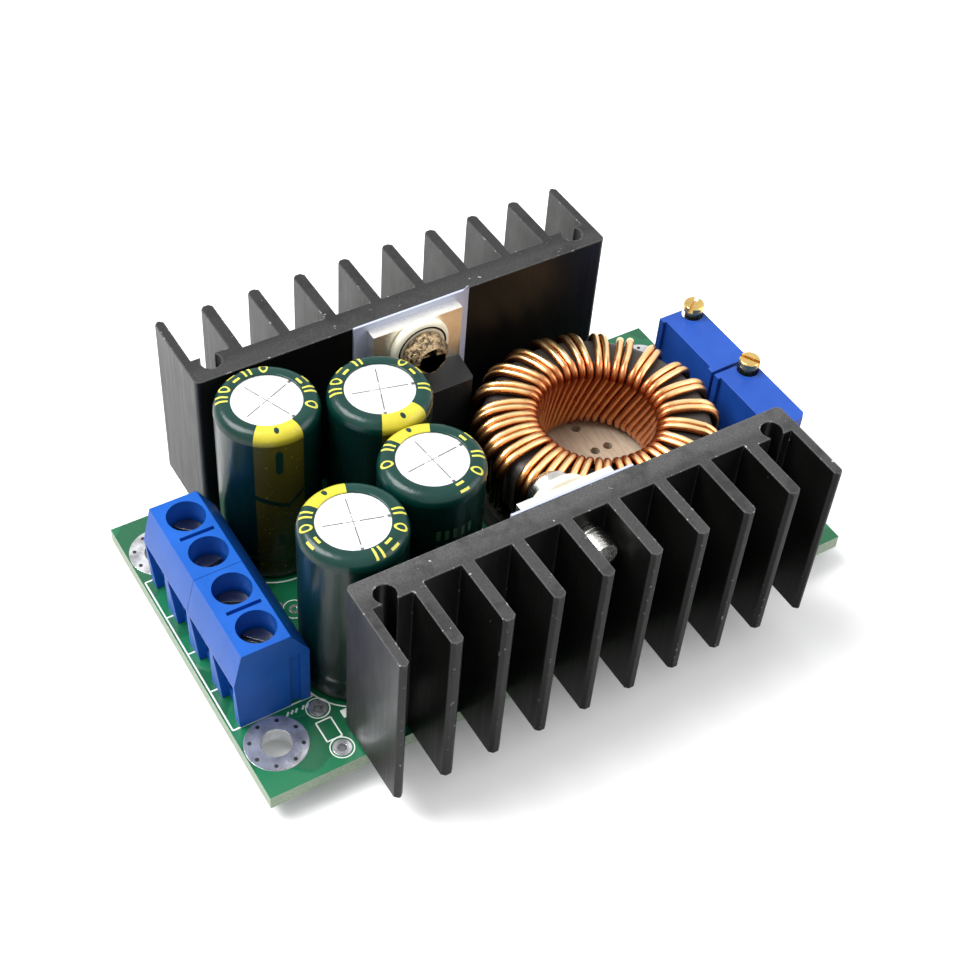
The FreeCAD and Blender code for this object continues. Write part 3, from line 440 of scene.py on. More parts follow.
def tube(path, radius, sides):
    """A round wire along a path, its ends closed, carried along without twist."""
    path = [Vector(p) for p in path]
    tangent = (path[1] - path[0]).normalized()
    side = tangent.orthogonal().normalized()
    points, faces = [], []
    count = len(path)
    for k, at in enumerate(path):
        ahead = (path[min(k + 1, count - 1)] - path[max(k - 1, 0)]).normalized()
        side = (side - ahead * side.dot(ahead)).normalized()
        up = ahead.cross(side)
        for i in range(sides):
            angle = 2 * math.pi * i / sides
            points.append(at + (side * math.cos(angle) + up * math.sin(angle)) * radius)
        if k:
            base = (k - 1) * sides
            for i in range(sides):
                j = (i + 1) % sides
                faces.append((base + i, base + j, base + sides + j, base + sides + i))
    faces.append(tuple(range(sides)))
    faces.append(tuple(range((count - 1) * sides, count * sides)))
    return points, faces


def prism(outline, low, high):
    """A closed slab with that outline."""
    count = len(outline)
    points = [(x, y, low) for x, y in outline] + [(x, y, high) for x, y in outline]
    faces = [tuple(range(count)), tuple(range(count, 2 * count))]
    for i in range(count):
        j = (i + 1) % count
        faces.append((i, j, count + j, count + i))
    return points, faces


def bar(x0, y0, x1, y1, wide):
    """Outline of a straight bar between two points, square at its ends."""
    along = Vector((x1 - x0, y1 - y0))
    side = Vector((-along.y, along.x)).normalized() * wide / 2
    a, b = Vector((x0, y0)), Vector((x1, y1))
    return [tuple(p) for p in (a - side, b - side, b + side, a + side)]


def arc_band(x, y, inner, outer, start, end, steps):
    """Outline of part of a flat ring."""
    angles = [math.radians(start + (end - start) * i / steps) for i in range(steps + 1)]
    out = [(x + outer * math.cos(a), y + outer * math.sin(a)) for a in angles]
    back = [(x + inner * math.cos(a), y + inner * math.sin(a)) for a in reversed(angles)]
    return out + back


def box_mm(name):
    """The CAD piece's low and high corners and its middle, in millimetres."""
    low, high = (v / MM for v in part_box(name))
    return low, high, [(a + b) / 2 for a, b in zip(low, high)]


# CAD pieces with their edges rounded

def soften(name, width, segments, look, reshape=None):
    """The CAD piece's own form with its sharp edges rounded."""
    mesh = frame["nodes"][name].data.copy()
    work = bmesh.new()
    work.from_mesh(mesh)
    bmesh.ops.remove_doubles(work, verts=work.verts, dist=2e-6)
    bmesh.ops.dissolve_limit(work, angle_limit=math.radians(1), verts=work.verts, edges=work.edges)
    bmesh.ops.recalc_face_normals(work, faces=work.faces)
    if reshape:
        for vertex in work.verts:
            vertex.co = reshape(vertex.co)
    work.to_mesh(mesh)
    work.free()
    if "custom_normal" in mesh.attributes:
        mesh.attributes.remove(mesh.attributes["custom_normal"])
    mesh.materials.clear()
    mesh.materials.append(look)
    mesh.shade_smooth()
    piece = link(name + "_rounded", mesh)
    bevel = piece.modifiers.new("edges", "BEVEL")
    bevel.width = width * MM
    bevel.segments = segments
    bevel.limit_method = "ANGLE"
    bevel.angle_limit = math.radians(32)
    bevel.harden_normals = True
    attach(piece, NODE_BODY[name])
    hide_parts(name)


def pan_head(name, shank_cut=None):
    """Draws a tab screw's head in to its real size, and takes shank_cut off the high end of its shank."""
    low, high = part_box(name)
    x, z = (low.x + high.x) / 2, (low.z + high.z) / 2
    end = high.y - shank_cut * MM if shank_cut else math.inf

    def reshape(at):
        out = Vector((at.x - x, 0, at.z - z))
        if out.length > HEAD_FROM * MM:
            out *= HEAD_SHARE
        return Vector((x + out.x, min(at.y, end), z + out.z))
    return reshape


# Inductor

def bend(middle_r, middle_z, radius, start, end, steps):
    """Points of a rounded corner, as (reach, height) pairs."""
    angles = [math.radians(start + (end - start) * i / steps) for i in range(steps + 1)]
    return [(middle_r + radius * math.cos(a), middle_z + radius * math.sin(a)) for a in angles]


def strand_path(side, jitter):
    """One of the two wires wound side by side round the ring, as points about the ring's middle."""
    path = []

    def put(reach, height, angle):
        angle = math.radians(angle)
        path.append((reach * math.cos(angle), reach * math.sin(angle), height))

    for reach, height in (*LEAD, (11.0, 4.2), (11.25, 5.2), (11.7, 6.3)):
        put(reach, height, TURNS[0] + side * SPREAD)
    for k, angle in enumerate(TURNS):
        first, last = k == 0, k + 1 == len(TURNS)
        out_angle = angle + side * (SPREAD + jitter.uniform(-0.15, 0.25)) + jitter.uniform(-0.5, 0.5)
        even = TURNS[0] - 2 + 15 * k
        in_angle = even + 0.35 * (angle - even) + side * 3.75
        foot_angle = in_angle + (2 if last else 20)
        lift = jitter.uniform(0.0, 0.14)
        bulge = -0.3 if 215 < angle < 240 else jitter.uniform(-0.1, 0.25)
        high = COIL_HIGH + lift
        far = COIL_OUT + bulge

        # Up the outside, over the top, and down the inside
        for height in ((7.8, 9.0) if first else (7.0, 8.4, 9.6)):
            put(far, height, out_angle)
        over = bend(far - OUTER_BEND, high - OUTER_BEND, OUTER_BEND, 12, 90, 6)
        for step in range(1, 4):
            share = step / 4
            reach = (far - OUTER_BEND) * (1 - share) + (COIL_IN + INNER_BEND) * share
            over.append((reach, high + 0.12 * math.sin(math.pi * share)))
        over += bend(COIL_IN + INNER_BEND, high - INNER_BEND, INNER_BEND, 90, 180, 6)
        for i, (reach, height) in enumerate(over):
            share = i / (len(over) - 1)
            ease = 0.35 * share + 0.65 * share * share * (3 - 2 * share)
            put(reach, height, out_angle + (in_angle - out_angle) * ease)
        for step in range(1, 5):
            share = step / 5
            height = (high - INNER_BEND) * (1 - share) + (COIL_LOW + INNER_BEND) * share
            put(COIL_IN + (COIL_FOOT - COIL_IN) * share, height, in_angle + (foot_angle - in_angle) * share)
        for reach, height in bend(COIL_FOOT + INNER_BEND, COIL_LOW + INNER_BEND, INNER_BEND, 180, 270, 4):
            put(reach, height, foot_angle)

        # Out to the board after the last turn, else under the ring to the next one
        if last:
            for reach, height in ((9.2, COIL_LOW), (10.4, COIL_LOW - 0.05), (11.0, 4.4), *reversed(LEAD)):
                put(reach, height, angle + side * SPREAD)
            break
        next_angle = TURNS[k + 1] + side * SPREAD
        for share in (0.33, 0.67):
            reach = (COIL_FOOT + INNER_BEND) * (1 - share) + (far - OUTER_BEND) * share
            put(reach, COIL_LOW, foot_angle + (next_angle - foot_angle) * share)
        for reach, height in bend(COIL_OUT - OUTER_BEND, COIL_LOW + OUTER_BEND, OUTER_BEND, -90, -12, 4):
            put(reach, height, next_angle)
    return path


def make_winding():
    jitter = random.Random(7)
    shape = Shape()
    for side in (-1, 1):
        path = [(RING_AT[0] + x, RING_AT[1] + y, z) for x, y, z in strand_path(side, jitter)]
        shape.take(*tube(path, STRAND, 10))
    piece = shape.piece("winding_strands", [LOOKS["enamelled_copper"]], "enamelled_copper")
    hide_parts("inductor_winding")


def make_core():
    inner, outer, low, high, cut = 6.75, 11.75, 5.65, 12.6, 1.4
    profile = []
    for middle_r, middle_z, start in ((outer - cut, high - cut, 0), (inner + cut, high - cut, 90),
                                      (inner + cut, low + cut, 180), (outer - cut, low + cut, 270)):
        profile += bend(middle_r, middle_z, cut, start, start + 90, 5)
    piece = Shape().turned(profile, 72, RING_AT).piece("ring_core", [LOOKS["core_powder"]], "core_powder")
    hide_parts("inductor_core")


# Capacitors

def meridian(along):
    """Reach, height and outward slant of the sleeve at a distance along it from the shoulder's foot."""
    foot = SLEEVE_TOP - SHOULDER
    if along <= 0:
        return SLEEVE_RADIUS, foot + along, 0.0
    arc = SHOULDER * math.pi / 2
    bent_about = SLEEVE_RADIUS - SHOULDER
    if along < arc:
        angle = along / SHOULDER
        return bent_about + SHOULDER * math.cos(angle), foot + SHOULDER * math.sin(angle), angle
    return bent_about - (along - arc), SLEEVE_TOP, math.pi / 2


class Print(Shape):
    """Thin closed fields of print on one capacitor's sleeve. Along runs up it, and around to the right."""

    def __init__(self, middle):
        super().__init__()
        self.middle = middle

    def spot(self, turn, around, along, proud):
        """A point around and along the sleeve from turn and the shoulder's foot, and proud of its face."""
        reach, height, tilt = meridian(along)
        angle = math.radians(turn) + around / SLEEVE_RADIUS
        reach += proud * math.cos(tilt)
        return (self.middle[0] + reach * math.cos(angle), self.middle[1] + reach * math.sin(angle),
                height + proud * math.sin(tilt))

    def patch(self, turn, low, high, left, right, slant=0.0, rows=6, columns=4):
        """A field from low to high along the sleeve and left to right around it."""
        points, faces = [], []
        wide = columns + 1
        sheet = (rows + 1) * wide
        for layer in (MARK_PROUD, -MARK_SUNK):
            for r in range(rows + 1):
                for c in range(wide):
                    around = left + (right - left) * c / columns
                    along = low + (high - low) * r / rows + slant * (around - left)
                    points.append(self.spot(turn, around, along, layer))
        for layer in (0, sheet):
            for r in range(rows):
                for c in range(columns):
                    a = layer + r * wide + c
                    faces.append((a, a + 1, a + wide + 1, a + wide))
        border = [c for c in range(columns)] + [columns + r * wide for r in range(rows)]
        border += [rows * wide + c for c in range(columns, 0, -1)] + [r * wide for r in range(rows, 0, -1)]
        for a, b in zip(border, border[1:] + border[:1]):
            faces.append((a, b, sheet + b, sheet + a))
        self.take(points, faces)

    def ring(self, turn, centre, size, wide, steps=16):
        """A ring, a little narrower than it is high."""
        points, faces = [], []
        for layer in (MARK_PROUD, -MARK_SUNK):
            for radius in (size, size - wide):
                for i in range(steps):
                    spin = 2 * math.pi * i / steps
                    along = centre + radius * math.sin(spin)
                    points.append(self.spot(turn, 0.8 * radius * math.cos(spin), along, layer))
        for i in range(steps):
            j = (i + 1) % steps
            for near, far in ((0, 1), (1, 3), (3, 2), (2, 0)):
                faces.append((near * steps + i, near * steps + j, far * steps + j, far * steps + i))
        self.take(points, faces)


def sleeve_profile():
    """The shrunk film's section: up its outside over the foot's bead and the shoulder, and how many points
    that takes, then down its inside."""
    foot = SLEEVE_TOP - SHOULDER
    profile = [(4.3, SLEEVE_LOW), (4.8, SLEEVE_LOW), (4.98, SLEEVE_LOW + 0.12),
               (SLEEVE_RADIUS, SLEEVE_LOW + 0.35), (SLEEVE_RADIUS, 3.5), (5.04, 3.7), (4.95, 4.05),
               (SLEEVE_INSIDE, 4.3), (4.95, 4.55), (5.04, 4.9), (SLEEVE_RADIUS, 5.15),
               (SLEEVE_RADIUS, 12.0), (SLEEVE_RADIUS, foot - 0.35), (5.09, foot - 0.12)]
    steps = 9
    profile += [meridian(SHOULDER * math.pi / 2 * i / steps)[:2] for i in range(steps + 1)]
    profile += [(WINDOW_RADIUS + 0.12, SLEEVE_TOP), (WINDOW_RADIUS + 0.03, SLEEVE_TOP - 0.03),
                (WINDOW_RADIUS, SLEEVE_TOP - 0.1), (WINDOW_RADIUS, DISC_TOP + 0.01)]
    outside = len(profile)
    profile += [(4.0, DISC_TOP + 0.01), (4.52, DISC_TOP - 0.2), (SLEEVE_INSIDE, 20.7),
                (SLEEVE_INSIDE, SLEEVE_LOW + 0.05), (4.3, SLEEVE_LOW + 0.05)]
    return profile, outside


def make_capacitor(name, middle, stripe, scores, marks):
    label = "capacitor_" + name
    profile, outside = sleeve_profile()
    sides = 96
    points, faces, columns = lathe(profile, sides)
    paint = []
    for i, k in columns:
        angle = (360 * (i + 0.5) / sides - stripe + 180) % 360 - 180
        paint.append(1 if abs(angle) < STRIPE_HALF and 2 < k < outside - 2 else 0)
    film = Shape().take(points, faces, paint, middle).piece(
        label + "_film", [LOOKS["green_sleeve"], GOLD_FILM], "green_sleeve", smooth=60)
    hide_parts(label + "_sleeve")

    # Dashes, rings and two slanted lines on the stripe
    dark = Print(middle)
    dark.patch(stripe, -3.5, -1.4, -0.36, 0.36, columns=4, rows=2)
    for along in (-3.5, -1.4):
        dark.ring(stripe, along, 0.45, 0.44)
    dark.patch(stripe, -7.4, -6.85, -2.42, 0.8, slant=-0.45, columns=8, rows=1)
    dark.patch(stripe, -8.85, -8.3, 0.75, 2.42, slant=0.9, columns=8, rows=1)
    dark.patch(stripe, -14.0, -12.6, -0.36, 0.36, columns=4, rows=2)
    dark.ring(stripe, 1.5, 0.36, 0.35)
    dark.piece(label + "_stripe_marks", [LOOKS["green_sleeve"]], "green_sleeve", smooth=60)

    # Two strokes, a ring or two bars in turn round the shoulder
    pale = Print(middle)
    for index, turn in enumerate(marks):
        kind = index % 3
        if kind == 0:
            for left in (-0.45, 0.27):
                pale.patch(turn, 0.75, 2.05, left, left + 0.28, columns=1)
        elif kind == 1:
            pale.ring(turn, 1.4, 0.66, 0.25)
        else:
            for low in (0.85, 1.65):
                pale.patch(turn, low, low + 0.27, -0.55, 0.55, columns=3, rows=1)
    pale.piece(label + "_shoulder_marks", [YELLOW_INK], "green_sleeve", smooth=60)

    # Three rows of faint ticks on the side away from the stripe
    faint = Print(middle)
    for row, drop in enumerate((3.4, 5.4, 7.4)):
        for step in range(5 - row):
            left = -2.3 + 0.8 * step
            faint.patch(stripe + 180, -drop - 1.2, -drop, left, left + 0.4, columns=1, rows=1)
    faint.piece(label + "_side_marks", [FAINT_INK], "green_sleeve", smooth=60)

    disc = [(0, CAN_TOP + 0.005), (DISC_RADIUS, CAN_TOP + 0.005), (DISC_RADIUS, DISC_TOP - 0.1),
            (DISC_RADIUS - 0.1, DISC_TOP), (0, DISC_TOP)]
    Shape().turned(disc, 64, middle).piece(label + "_top", [LOOKS["can_aluminium"]], "can_aluminium")

    # Score lines and rim notches: dark strips on the can top, painted shade of its pressed grooves
    lines = Shape()
    for number, score in enumerate(scores):
        along = Vector((math.cos(math.radians(score)), math.sin(math.radians(score))))
        for start, end, wide in ((-2.75, -0.9, 0.11), (-0.7, 0.5, 0.07), (0.6, 2.75, 0.12),
                                 (3.08, 3.38, 0.32)):
            a, b = along * start, along * end
            outline = bar(middle[0] + a.x, middle[1] + a.y, middle[0] + b.x, middle[1] + b.y, wide)
            lines.take(*prism(outline, DISC_TOP - 0.02, DISC_TOP + 0.012 + 0.003 * number))
    lines.piece(label + "_score_lines", [SCORE_GROOVE_SHADE], "can_aluminium")


# Prints and plated rings of the board

TEST_PADS = ((-24.55, -11.45), (-24.6, -16.4))
FEED_HOLE = (-21.1, 0.1)


def make_board_prints():
    """Printed lines. Where two meet, one is some thousandths of a millimetre higher, so no faces coincide."""
    shape = Shape()

    def ink(outline, proud=INK_PROUD):
        shape.take(*prism(outline, BOARD_TOP - INK_SUNK, BOARD_TOP + proud))

    def ring(x, y, inner, outer, steps, proud, lift=0.001):
        ink(arc_band(x, y, inner, outer, 0, 180, steps), proud)
        ink(arc_band(x, y, inner, outer, 180, 360, steps), proud + lift)

    # The terminals' outline and its divisions
    left, right, low, high = -32.6, -24.35, -9.95, 10.05
    for x in (left, right):
        ink(bar(x, low, x, high, LINE_WIDE))
    for y in (low, -5.0, 0.0, 5.0, high):
        ink(bar(left, y, left + 1.4, y, LINE_WIDE), 0.024)
    for y in (low, high):
        ink(bar(left, y, right, y, LINE_WIDE), 0.022)

    # The oblong between the two small rings at the front
    left, right, low, high = -25.53, -23.97, -15.23, -12.89
    for a, b in (((left, low), (right, low)), ((right, low), (right, high)),
                 ((right, high), (left, high)), ((left, high), (left, low))):
        ink(bar(*a, *b, 0.15), INK_PROUD + 0.001 * (a[0] > b[0]))

    for middle, *_ in CAPACITORS.values():
        ring(*middle, 5.35, 5.5, 24, 0.018)
    ring(*RING_AT, 12.75, 12.92, 40, 0.017, 0.0005)
    for x in (-27.5, -27.05, -26.6, -25.9, -25.45):
        ink(bar(x, -10.9, x + 0.35, -10.53, 0.2))
    for x, y in (*TEST_PADS, FEED_HOLE):
        ring(x, y, 1.08, 1.2, 12, 0.018)
    ink(bar(26.1, 4.0, 26.1, -8.9, LINE_WIDE))
    ink(bar(26.1, -9.3, 32.7, -9.3, LINE_WIDE))
    ink([(-22.9, -13.6), (-21.9, -13.6), (-21.9, -12.7), (-22.9, -12.7)])
    shape.piece("board_print", [WHITE_INK], "solder_mask")


def plated_hole(bore, hole, reach, under):
    """Section of the plating through a hole in the board and of its rings on both faces."""
    top = BOARD_TOP
    return [(bore, -under), (bore, top + PLATING), (reach, top + PLATING), (reach, top - INK_SUNK),
            (hole, top - INK_SUNK), (hole, INK_SUNK), (reach, INK_SUNK), (reach, -under)]


def make_plated_rings():
    """Tinned rings of the mounting holes with their small vias, and of four small holes."""
    rings = Shape()
    dots = Shape()
    # The vias are near-black discs: painted shade standing in for their open holes
    via = [(0, BOARD_TOP), (0.21, BOARD_TOP), (0.21, BOARD_TOP + 0.035), (0, BOARD_TOP + 0.035)]
    for x in (-HOLES_AT[0], HOLES_AT[0]):
        for y in (-HOLES_AT[1], HOLES_AT[1]):
            rings.turned(plated_hole(1.5, 1.6, 3.05, PLATING), 64, (x, y))
            for i in range(8):
                angle = 2 * math.pi * (i + 0.4) / 8
                dots.turned(via, 14, (x + 2.5 * math.cos(angle), y + 2.5 * math.sin(angle)))
    for place in TEST_PADS:
        rings.turned(plated_hole(0.44, 0.5, 0.92, 0.02), 28, place)
    low, high = BOARD_TOP - INK_SUNK, BOARD_TOP + PLATING
    for place in (FEED_HOLE, (-22.4, 1.2)):
        rings.turned([(0.27, low), (0.55, low), (0.55, high), (0.27, high)], 24, place)
    rings.piece("plated_rings", [RING_TIN], "solder")
    dots.piece("ring_vias", [VIA_HOLE_SHADE], "solder")


# Insulating bushes and screws. The tab screws' axes run along Y

def about_y(at, inward):
    """Places a turned profile about an axis along Y, with its heights from at, and along Y times inward."""
    def turn(reach, height, angle):
        return (at[0] + reach * math.cos(angle), at[1] + inward * height, at[2] + reach * math.sin(angle))
    return turn


def make_bush(side, inward):
    low, high, (x, _, z) = box_mm(side + "_insulating_bush")
    outer = (high.x - low.x) / 2
    face = high.y if inward > 0 else low.y
    profile = [(1.55, -2.3), (1.85, -2.3), (1.85, -1.0), (outer - 0.3, -1.0), (outer - 0.08, -0.92),
               (outer, -0.72), (outer - 0.04, -0.45), (outer - 0.18, -0.2), (outer - 0.42, -0.05),
               (outer - 0.75, 0.0), (2.75, -0.02), (1.62, -0.02), (1.55, -0.1)]
    shape = Shape().turned(profile, 48, turn=about_y((x, face, z), inward))
    piece = shape.piece(side + "_bush_rounded", [LOOKS["bush_plastic"]], "bush_plastic", smooth=50)
    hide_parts(side + "_insulating_bush")


def make_thread():
    """Ridges of the front tab screw's thread, over the end of its plain CAD shank."""
    low, _, (x, _, z) = box_mm("front_tab_screw")
    profile = [(0.0, 0.02), (1.1, 0.02)]
    pitch, root, crest = 0.5, 1.3, 1.56
    for number in range(5):
        start = 0.1 + number * pitch
        profile += [(root, start + 0.04), (crest, start + 0.2), (crest, start + 0.28), (root, start + 0.44)]
    profile += [(0.0, 2.62)]
    shape = Shape().turned(profile, 28, turn=about_y((x, low.y, z), 1))
    shape.piece("front_screw_thread", [LOOKS["plated_steel"]], "plated_steel", smooth=35)


def make_trimmer_screw(side, slot_turn):
    """A brass head with a screwdriver slot on a narrower neck."""
    low, high, (x, y, _) = box_mm(side + "_trimmer_screw")
    top = high.z
    head, slot, steps = 1.1, 0.24, 16
    neck = [(0, low.z), (0.82, low.z), (0.82, top - 1.0), (1.0, top - 0.95), (1.08, top - 0.85),
            (head, top - 0.62), (0, top - 0.62)]
    shape = Shape().turned(neck, 40, (x, y))
    half = math.degrees(math.asin(slot / head))
    wide = steps + 1
    for flip in (0, 180):
        points = []
        for reach, height in ((head, top - 0.64), (head, top - 0.1), (1.0, top)):
            for i in range(wide):
                angle = math.radians(slot_turn + flip + half + (180 - 2 * half) * i / steps)
                points.append((x + reach * math.cos(angle), y + reach * math.sin(angle), height))
        faces = [tuple(range(wide)), tuple(range(2 * wide, 3 * wide))]
        for row in (0, wide):
            for i in range(wide):
                j = (i + 1) % wide
                faces.append((row + i, row + j, row + wide + j, row + wide + i))
        shape.take(points, faces)
    piece = shape.piece(side + "_brass_screw", [LOOKS["yellow_brass"]], "yellow_brass", side + "_adjuster")
    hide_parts(side + "_trimmer_screw")


def make_torn_film():
    """The loose upper corner of the rear insulating film."""
    _, high, (_, y, _) = box_mm("rear_insulating_pad")
    x, z = high.x, high.z
    rows = [(x - 0.9, x + 0.02, z - 0.15, 0.0), (x - 0.6, x + 0.05, z + 0.1, 0.08),
            (x - 0.45, x + 0.02, z + 0.3, 0.16), (x - 0.4, x - 0.1, z + 0.45, 0.2),
            (x - 0.3, x - 0.12, z + 0.6, 0.26)]
    points, faces = [], []
    for offset in (-0.05, 0.05):
        for left, right, height, lean in rows:
            points += [(left, y - lean + offset, height), (right, y - lean * 0.6 + offset, height - 0.12)]
    count = 2 * len(rows)
    for a in range(0, count - 2, 2):
        faces += [(a, a + 1, a + 3, a + 2), (count + a, count + a + 1, count + a + 3, count + a + 2)]
        faces += [(a, a + 2, count + a + 2, count + a), (a + 1, a + 3, count + a + 3, count + a + 1)]
    faces += [(0, 1, count + 1, count), (count - 2, count - 1, 2 * count - 1, 2 * count - 2)]
    Shape().take(points, faces).piece("rear_film_corner", [LOOKS["insulating_film"]], "insulating_film")


# Camera, light and floor

def make_camera():
    data = bpy.data.cameras.new("camera")
    data.lens = CAMERA_LENS
    data.shift_x, data.shift_y = CAMERA_SHIFT
    data.clip_start = 0.01
    camera = link("camera", data)
    camera.location = CAMERA_AT
    camera.rotation_euler = CAMERA_TURN
    bpy.context.scene.camera = camera


def area_light(name, at, wide, power):
    """A square lamp that looks at the origin. Its place and side are metres and its power watts."""
    data = bpy.data.lights.new(name, "AREA")
    data.shape = "SQUARE"
    data.size = wide
    data.energy = power
    light = link(name, data)
    light.location = at
    light.rotation_euler = (-Vector(at)).to_track_quat("-Z", "Y").to_euler()


def make_world():
    """A soft white room, brighter overhead, and plain white to the camera and in reflections."""
    world = bpy.data.worlds.new("world")
    bpy.context.scene.world = world
    world.use_nodes = True
    nodes = world.node_tree.nodes
    links = world.node_tree.links
    nodes.clear()
    output = nodes.new("ShaderNodeOutputWorld")
    coordinates = nodes.new("ShaderNodeTexCoord")
    split = nodes.new("ShaderNodeSeparateXYZ")
    links.new(coordinates.outputs["Generated"], split.inputs[0])
    level = nodes.new("ShaderNodeMapRange")
    links.new(split.outputs["Z"], level.inputs["Value"])
    for name, value in (("From Min", -0.1), ("From Max", 1.0), ("To Min", 0.1), ("To Max", 1.0)):
        level.inputs[name].default_value = value
    soft = nodes.new("ShaderNodeBackground")
    soft.inputs["Color"].default_value = (1, 1, 1, 1)
    links.new(level.outputs[0], soft.inputs["Strength"])
    white = nodes.new("ShaderNodeBackground")
    white.inputs["Color"].default_value = (1, 1, 1, 1)
    path = nodes.new("ShaderNodeLightPath")
    seen = path.outputs["Is Camera Ray"]
    for name in ("Is Glossy Ray", "Is Transmission Ray"):
        either = nodes.new("ShaderNodeMath")
        either.operation = "MAXIMUM"
        links.new(seen, either.inputs[0])
        links.new(path.outputs[name], either.inputs[1])
        seen = either.outputs[0]
    mix = nodes.new("ShaderNodeMixShader")
    links.new(seen, mix.inputs[0])
    links.new(soft.outputs[0], mix.inputs[1])
    links.new(white.outputs[0], mix.inputs[2])
    links.new(mix.outputs[0], output.inputs["Surface"])


def make_floor(level):
    """Paper that keeps the shadow. To the camera and in reflections it is white where nothing shades it, and
    plain white far out. It is clear from below, and grey to the light that it throws on the object."""
    mesh = bpy.data.meshes.new("floor")
    signs = ((-1, -1), (1, -1), (1, 1), (-1, 1))
    mesh.from_pydata([(FLOOR_HALF * x, FLOOR_HALF * y, level) for x, y in signs], [], [(0, 1, 2, 3)])
    floor = link("floor", mesh)
    g = Graph("floor_paper")
    grain = g.noise(0.5, 3)
    path = g.nodes.new("ShaderNodeLightPath")
    looked_at = path.outputs["Is Camera Ray"]
    for name in ("Is Glossy Ray", "Is Transmission Ray"):
        looked_at = g.math("MAXIMUM", looked_at, path.outputs[name])
    far = g.ramp(g.vector("LENGTH", g.place, (0.0, 0.0, 0.0)), *FLOOR_FADE)
    seen = g.mix(far, g.mix(grain, (0.86, 0.86, 0.86), (0.88, 0.88, 0.88)), (0.0, 0.0, 0.0))
    g.set(base_color=g.mix(looked_at, (0.42, 0.42, 0.42), seen), roughness=0.7,
          specular_ior_level=0.0, emission_color=(1.0, 1.0, 1.0))
    glow = g.math("MAXIMUM", far, 0.08)
    g.put(g.surface.inputs["Emission Strength"], g.math("MULTIPLY", looked_at, glow))
    under = g.nodes.new("ShaderNodeNewGeometry").outputs["Backfacing"]
    clear = g.nodes.new("ShaderNodeBsdfTransparent")
    either = g.nodes.new("ShaderNodeMixShader")
    g.put(either.inputs[0], under)
    g.put(either.inputs[1], g.surface.outputs[0])
    g.put(either.inputs[2], clear.outputs[0])
    g.put(g.output.inputs["Surface"], either.outputs[0])
    mesh.materials.append(g.material)


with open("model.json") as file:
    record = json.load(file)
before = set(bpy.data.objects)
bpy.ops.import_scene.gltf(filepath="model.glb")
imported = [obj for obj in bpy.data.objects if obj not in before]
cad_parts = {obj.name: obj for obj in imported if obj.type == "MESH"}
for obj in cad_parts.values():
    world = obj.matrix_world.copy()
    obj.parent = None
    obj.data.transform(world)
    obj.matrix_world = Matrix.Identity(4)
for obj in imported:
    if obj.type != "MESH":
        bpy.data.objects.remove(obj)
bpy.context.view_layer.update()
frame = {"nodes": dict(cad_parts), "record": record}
BODIES = frame["record"]["behaviour"]["bodies"]
NODE_BODY = {member: body for body, members in BODIES.items() for member in members}
bpy.context.scene.view_settings.view_transform = "Standard"
make_camera()
make_world()
make_floor(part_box("solder_joints")[0].z)
front_low, front_high, _ = box_mm("front_heatsink")
_, rear_high, _ = box_mm("rear_heatsink")

LOOKS = {
    "solder_mask": board_lacquer(),
    "black_anodised": black_anodised("black_anodised", -front_low.y, front_high.z, 0.42, 0.09,
                                     front_low.x + 0.4),
    "tinned_pin": plain_metal("tinned_pin", (0.62, 0.62, 0.6), 0.3),
    "insulating_film": plain_plastic("insulating_film", (0.4, 0.43, 0.56), 0.35, coat=0.2),
    "plated_copper": plain_metal("plated_copper", (0.98, 0.96, 0.9), 0.34, dirt=0.9),
    "black_moulding": plain_plastic("black_moulding", (0.009, 0.009, 0.01), 0.45, 0.03),
    "bush_plastic": plain_plastic("bush_plastic", (0.8, 0.76, 0.6), 0.35, 0.005),
    "plated_steel": plain_metal("plated_steel", (0.72, 0.71, 0.68), 0.22),
    "trimmer_plastic": plain_plastic("trimmer_plastic", (0.009, 0.06, 0.33), 0.4, shine=0.35),
    "yellow_brass": plain_metal("yellow_brass", (0.85, 0.58, 0.2), 0.22),
    "base_plastic": base_moulding(),
    "core_powder": plain_plastic("core_powder", (0.03, 0.026, 0.023), 0.42, 0.04),
    "enamelled_copper": copper_enamel(),
    "can_aluminium": plain_metal("can_aluminium", (0.95, 0.95, 0.95), 0.42, dirt=0.97),
    "green_sleeve": sleeve_film("green_sleeve", (0.0015, 0.026, 0.021), (0.003, 0.04, 0.031), 0.28, 0.6),
    "seal_rubber": plain_plastic("seal_rubber", (0.015, 0.015, 0.015), 0.7),
    "terminal_plastic": plain_plastic("terminal_plastic", (0.004, 0.085, 0.41), 0.38, shine=0.22),
    "solder": plain_metal("solder", (0.66, 0.67, 0.67), 0.22),
    "resistor_ceramic": plain_plastic("resistor_ceramic", (0.02, 0.02, 0.02), 0.5),
    "passive_ceramic": plain_plastic("passive_ceramic", (0.33, 0.24, 0.15), 0.5),
}
# The last argument of each film is the share of its colour that its painted shade leaves below the shoulder
GOLD_FILM = sleeve_film("gold_film", (0.5, 0.43, 0.03), (0.62, 0.55, 0.05), 0.36, 0.12)
YELLOW_INK = sleeve_film("yellow_ink", (0.55, 0.52, 0.06), (0.68, 0.64, 0.12), 0.4, 0.3)
FAINT_INK = sleeve_film("faint_ink", (0.05, 0.16, 0.08), (0.07, 0.2, 0.1), 0.35, 0.6)
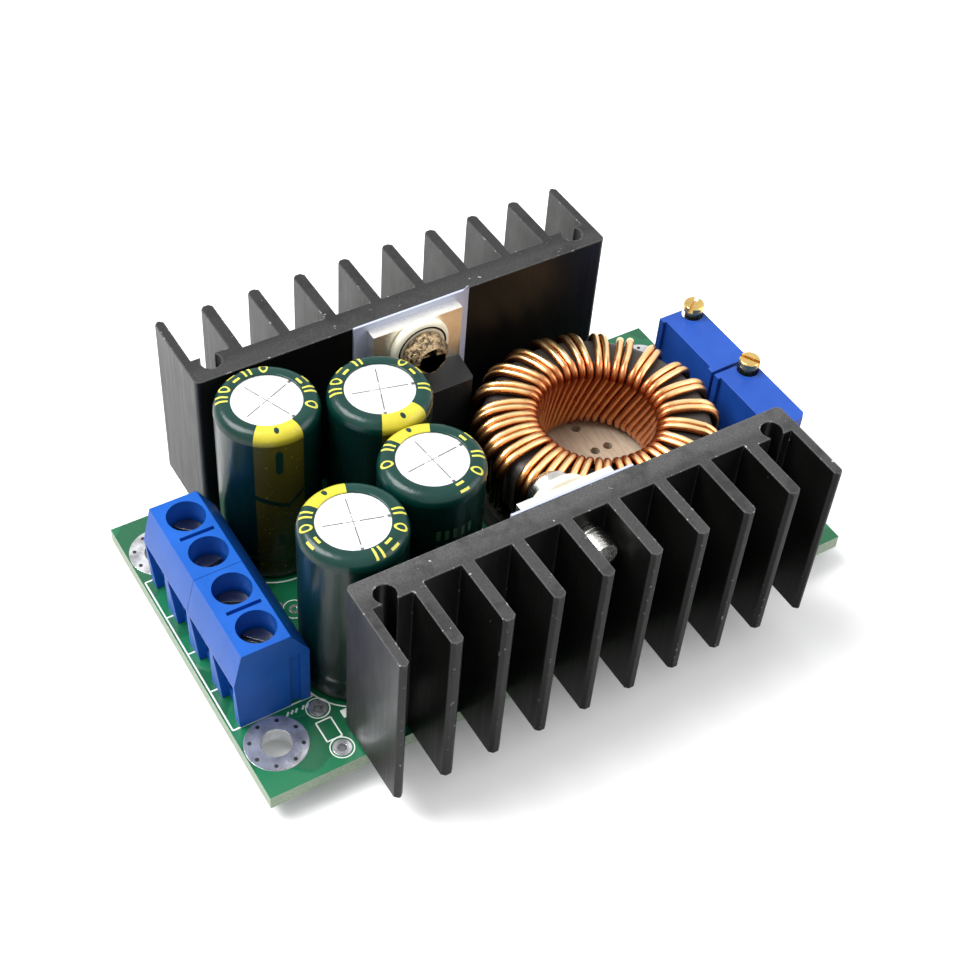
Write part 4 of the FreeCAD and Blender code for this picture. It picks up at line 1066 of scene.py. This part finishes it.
SCORE_GROOVE_SHADE = plain_metal("score_groove_shade", (0.2, 0.2, 0.21), 0.5)
WHITE_INK = plain_plastic("white_ink", (0.72, 0.76, 0.7), 0.5)
RING_TIN = plain_metal("ring_tin", (0.8, 0.81, 0.84), 0.12, dirt=0.4, metal=0.75)
VIA_HOLE_SHADE = plain_plastic("via_hole_shade", (0.008, 0.009, 0.012), 0.4)
# The rear heatsink: stronger dust and painted sheen on its faces that look left
SHEEN_DUST_ANODISED = black_anodised("sheen_dust_anodised", rear_high.y, rear_high.z, 0.75, 0.048, rear_high.x)
# Terminal screws: steel far darker than its plating, painted shade of the wells they sit in
WELL_SHADE_STEEL = plain_metal("well_shade_steel", (0.2, 0.21, 0.24), 0.16, dirt=0.85)
DARK_BRONZE = stained_bronze()

for entry in frame["record"]["subparts"]:
    item = frame["nodes"][entry["node"]]
    item.data.materials.clear()
    item.data.materials.append(LOOKS[entry["material_slot"]])

soften("front_heatsink", 0.16, 2, LOOKS["black_anodised"])
soften("rear_heatsink", 0.16, 2, SHEEN_DUST_ANODISED)
for name in ("input_terminal_housing", "output_terminal_housing"):
    soften(name, 0.02, 2, LOOKS["terminal_plastic"])
for side in ("front", "rear"):
    soften(side + "_trimmer_housing", 0.12, 2, LOOKS["trimmer_plastic"])
for name in ("front_regulator_moulding", "rear_rectifier_moulding"):
    soften(name, 0.15, 2, LOOKS["black_moulding"])
soften("front_tab_screw", 0.16, 3, LOOKS["plated_steel"], pan_head("front_tab_screw"))
soften("rear_tab_screw", 0.16, 3, DARK_BRONZE, pan_head("rear_tab_screw", REAR_SHANK_CUT))
for number in range(1, 5):
    soften("terminal_screw_%d" % number, 0.1, 2, WELL_SHADE_STEEL)
for name in ("op_amp_chip", "reference_regulator_chip"):
    soften(name, 0.08, 2, LOOKS["black_moulding"])

make_winding()
make_core()
for cap_name, cap_facts in CAPACITORS.items():
    make_capacitor(cap_name, *cap_facts)
make_board_prints()
make_plated_rings()
make_bush("front", 1)
make_bush("rear", -1)
make_thread()
make_torn_film()
make_trimmer_screw("rear", 35)
make_trimmer_screw("front", -60)

area_light("key", (-0.25, 0.2, 0.5), 0.35, 5.0)
area_light("side", (0.45, -0.3, 0.35), 0.4, 1.5)
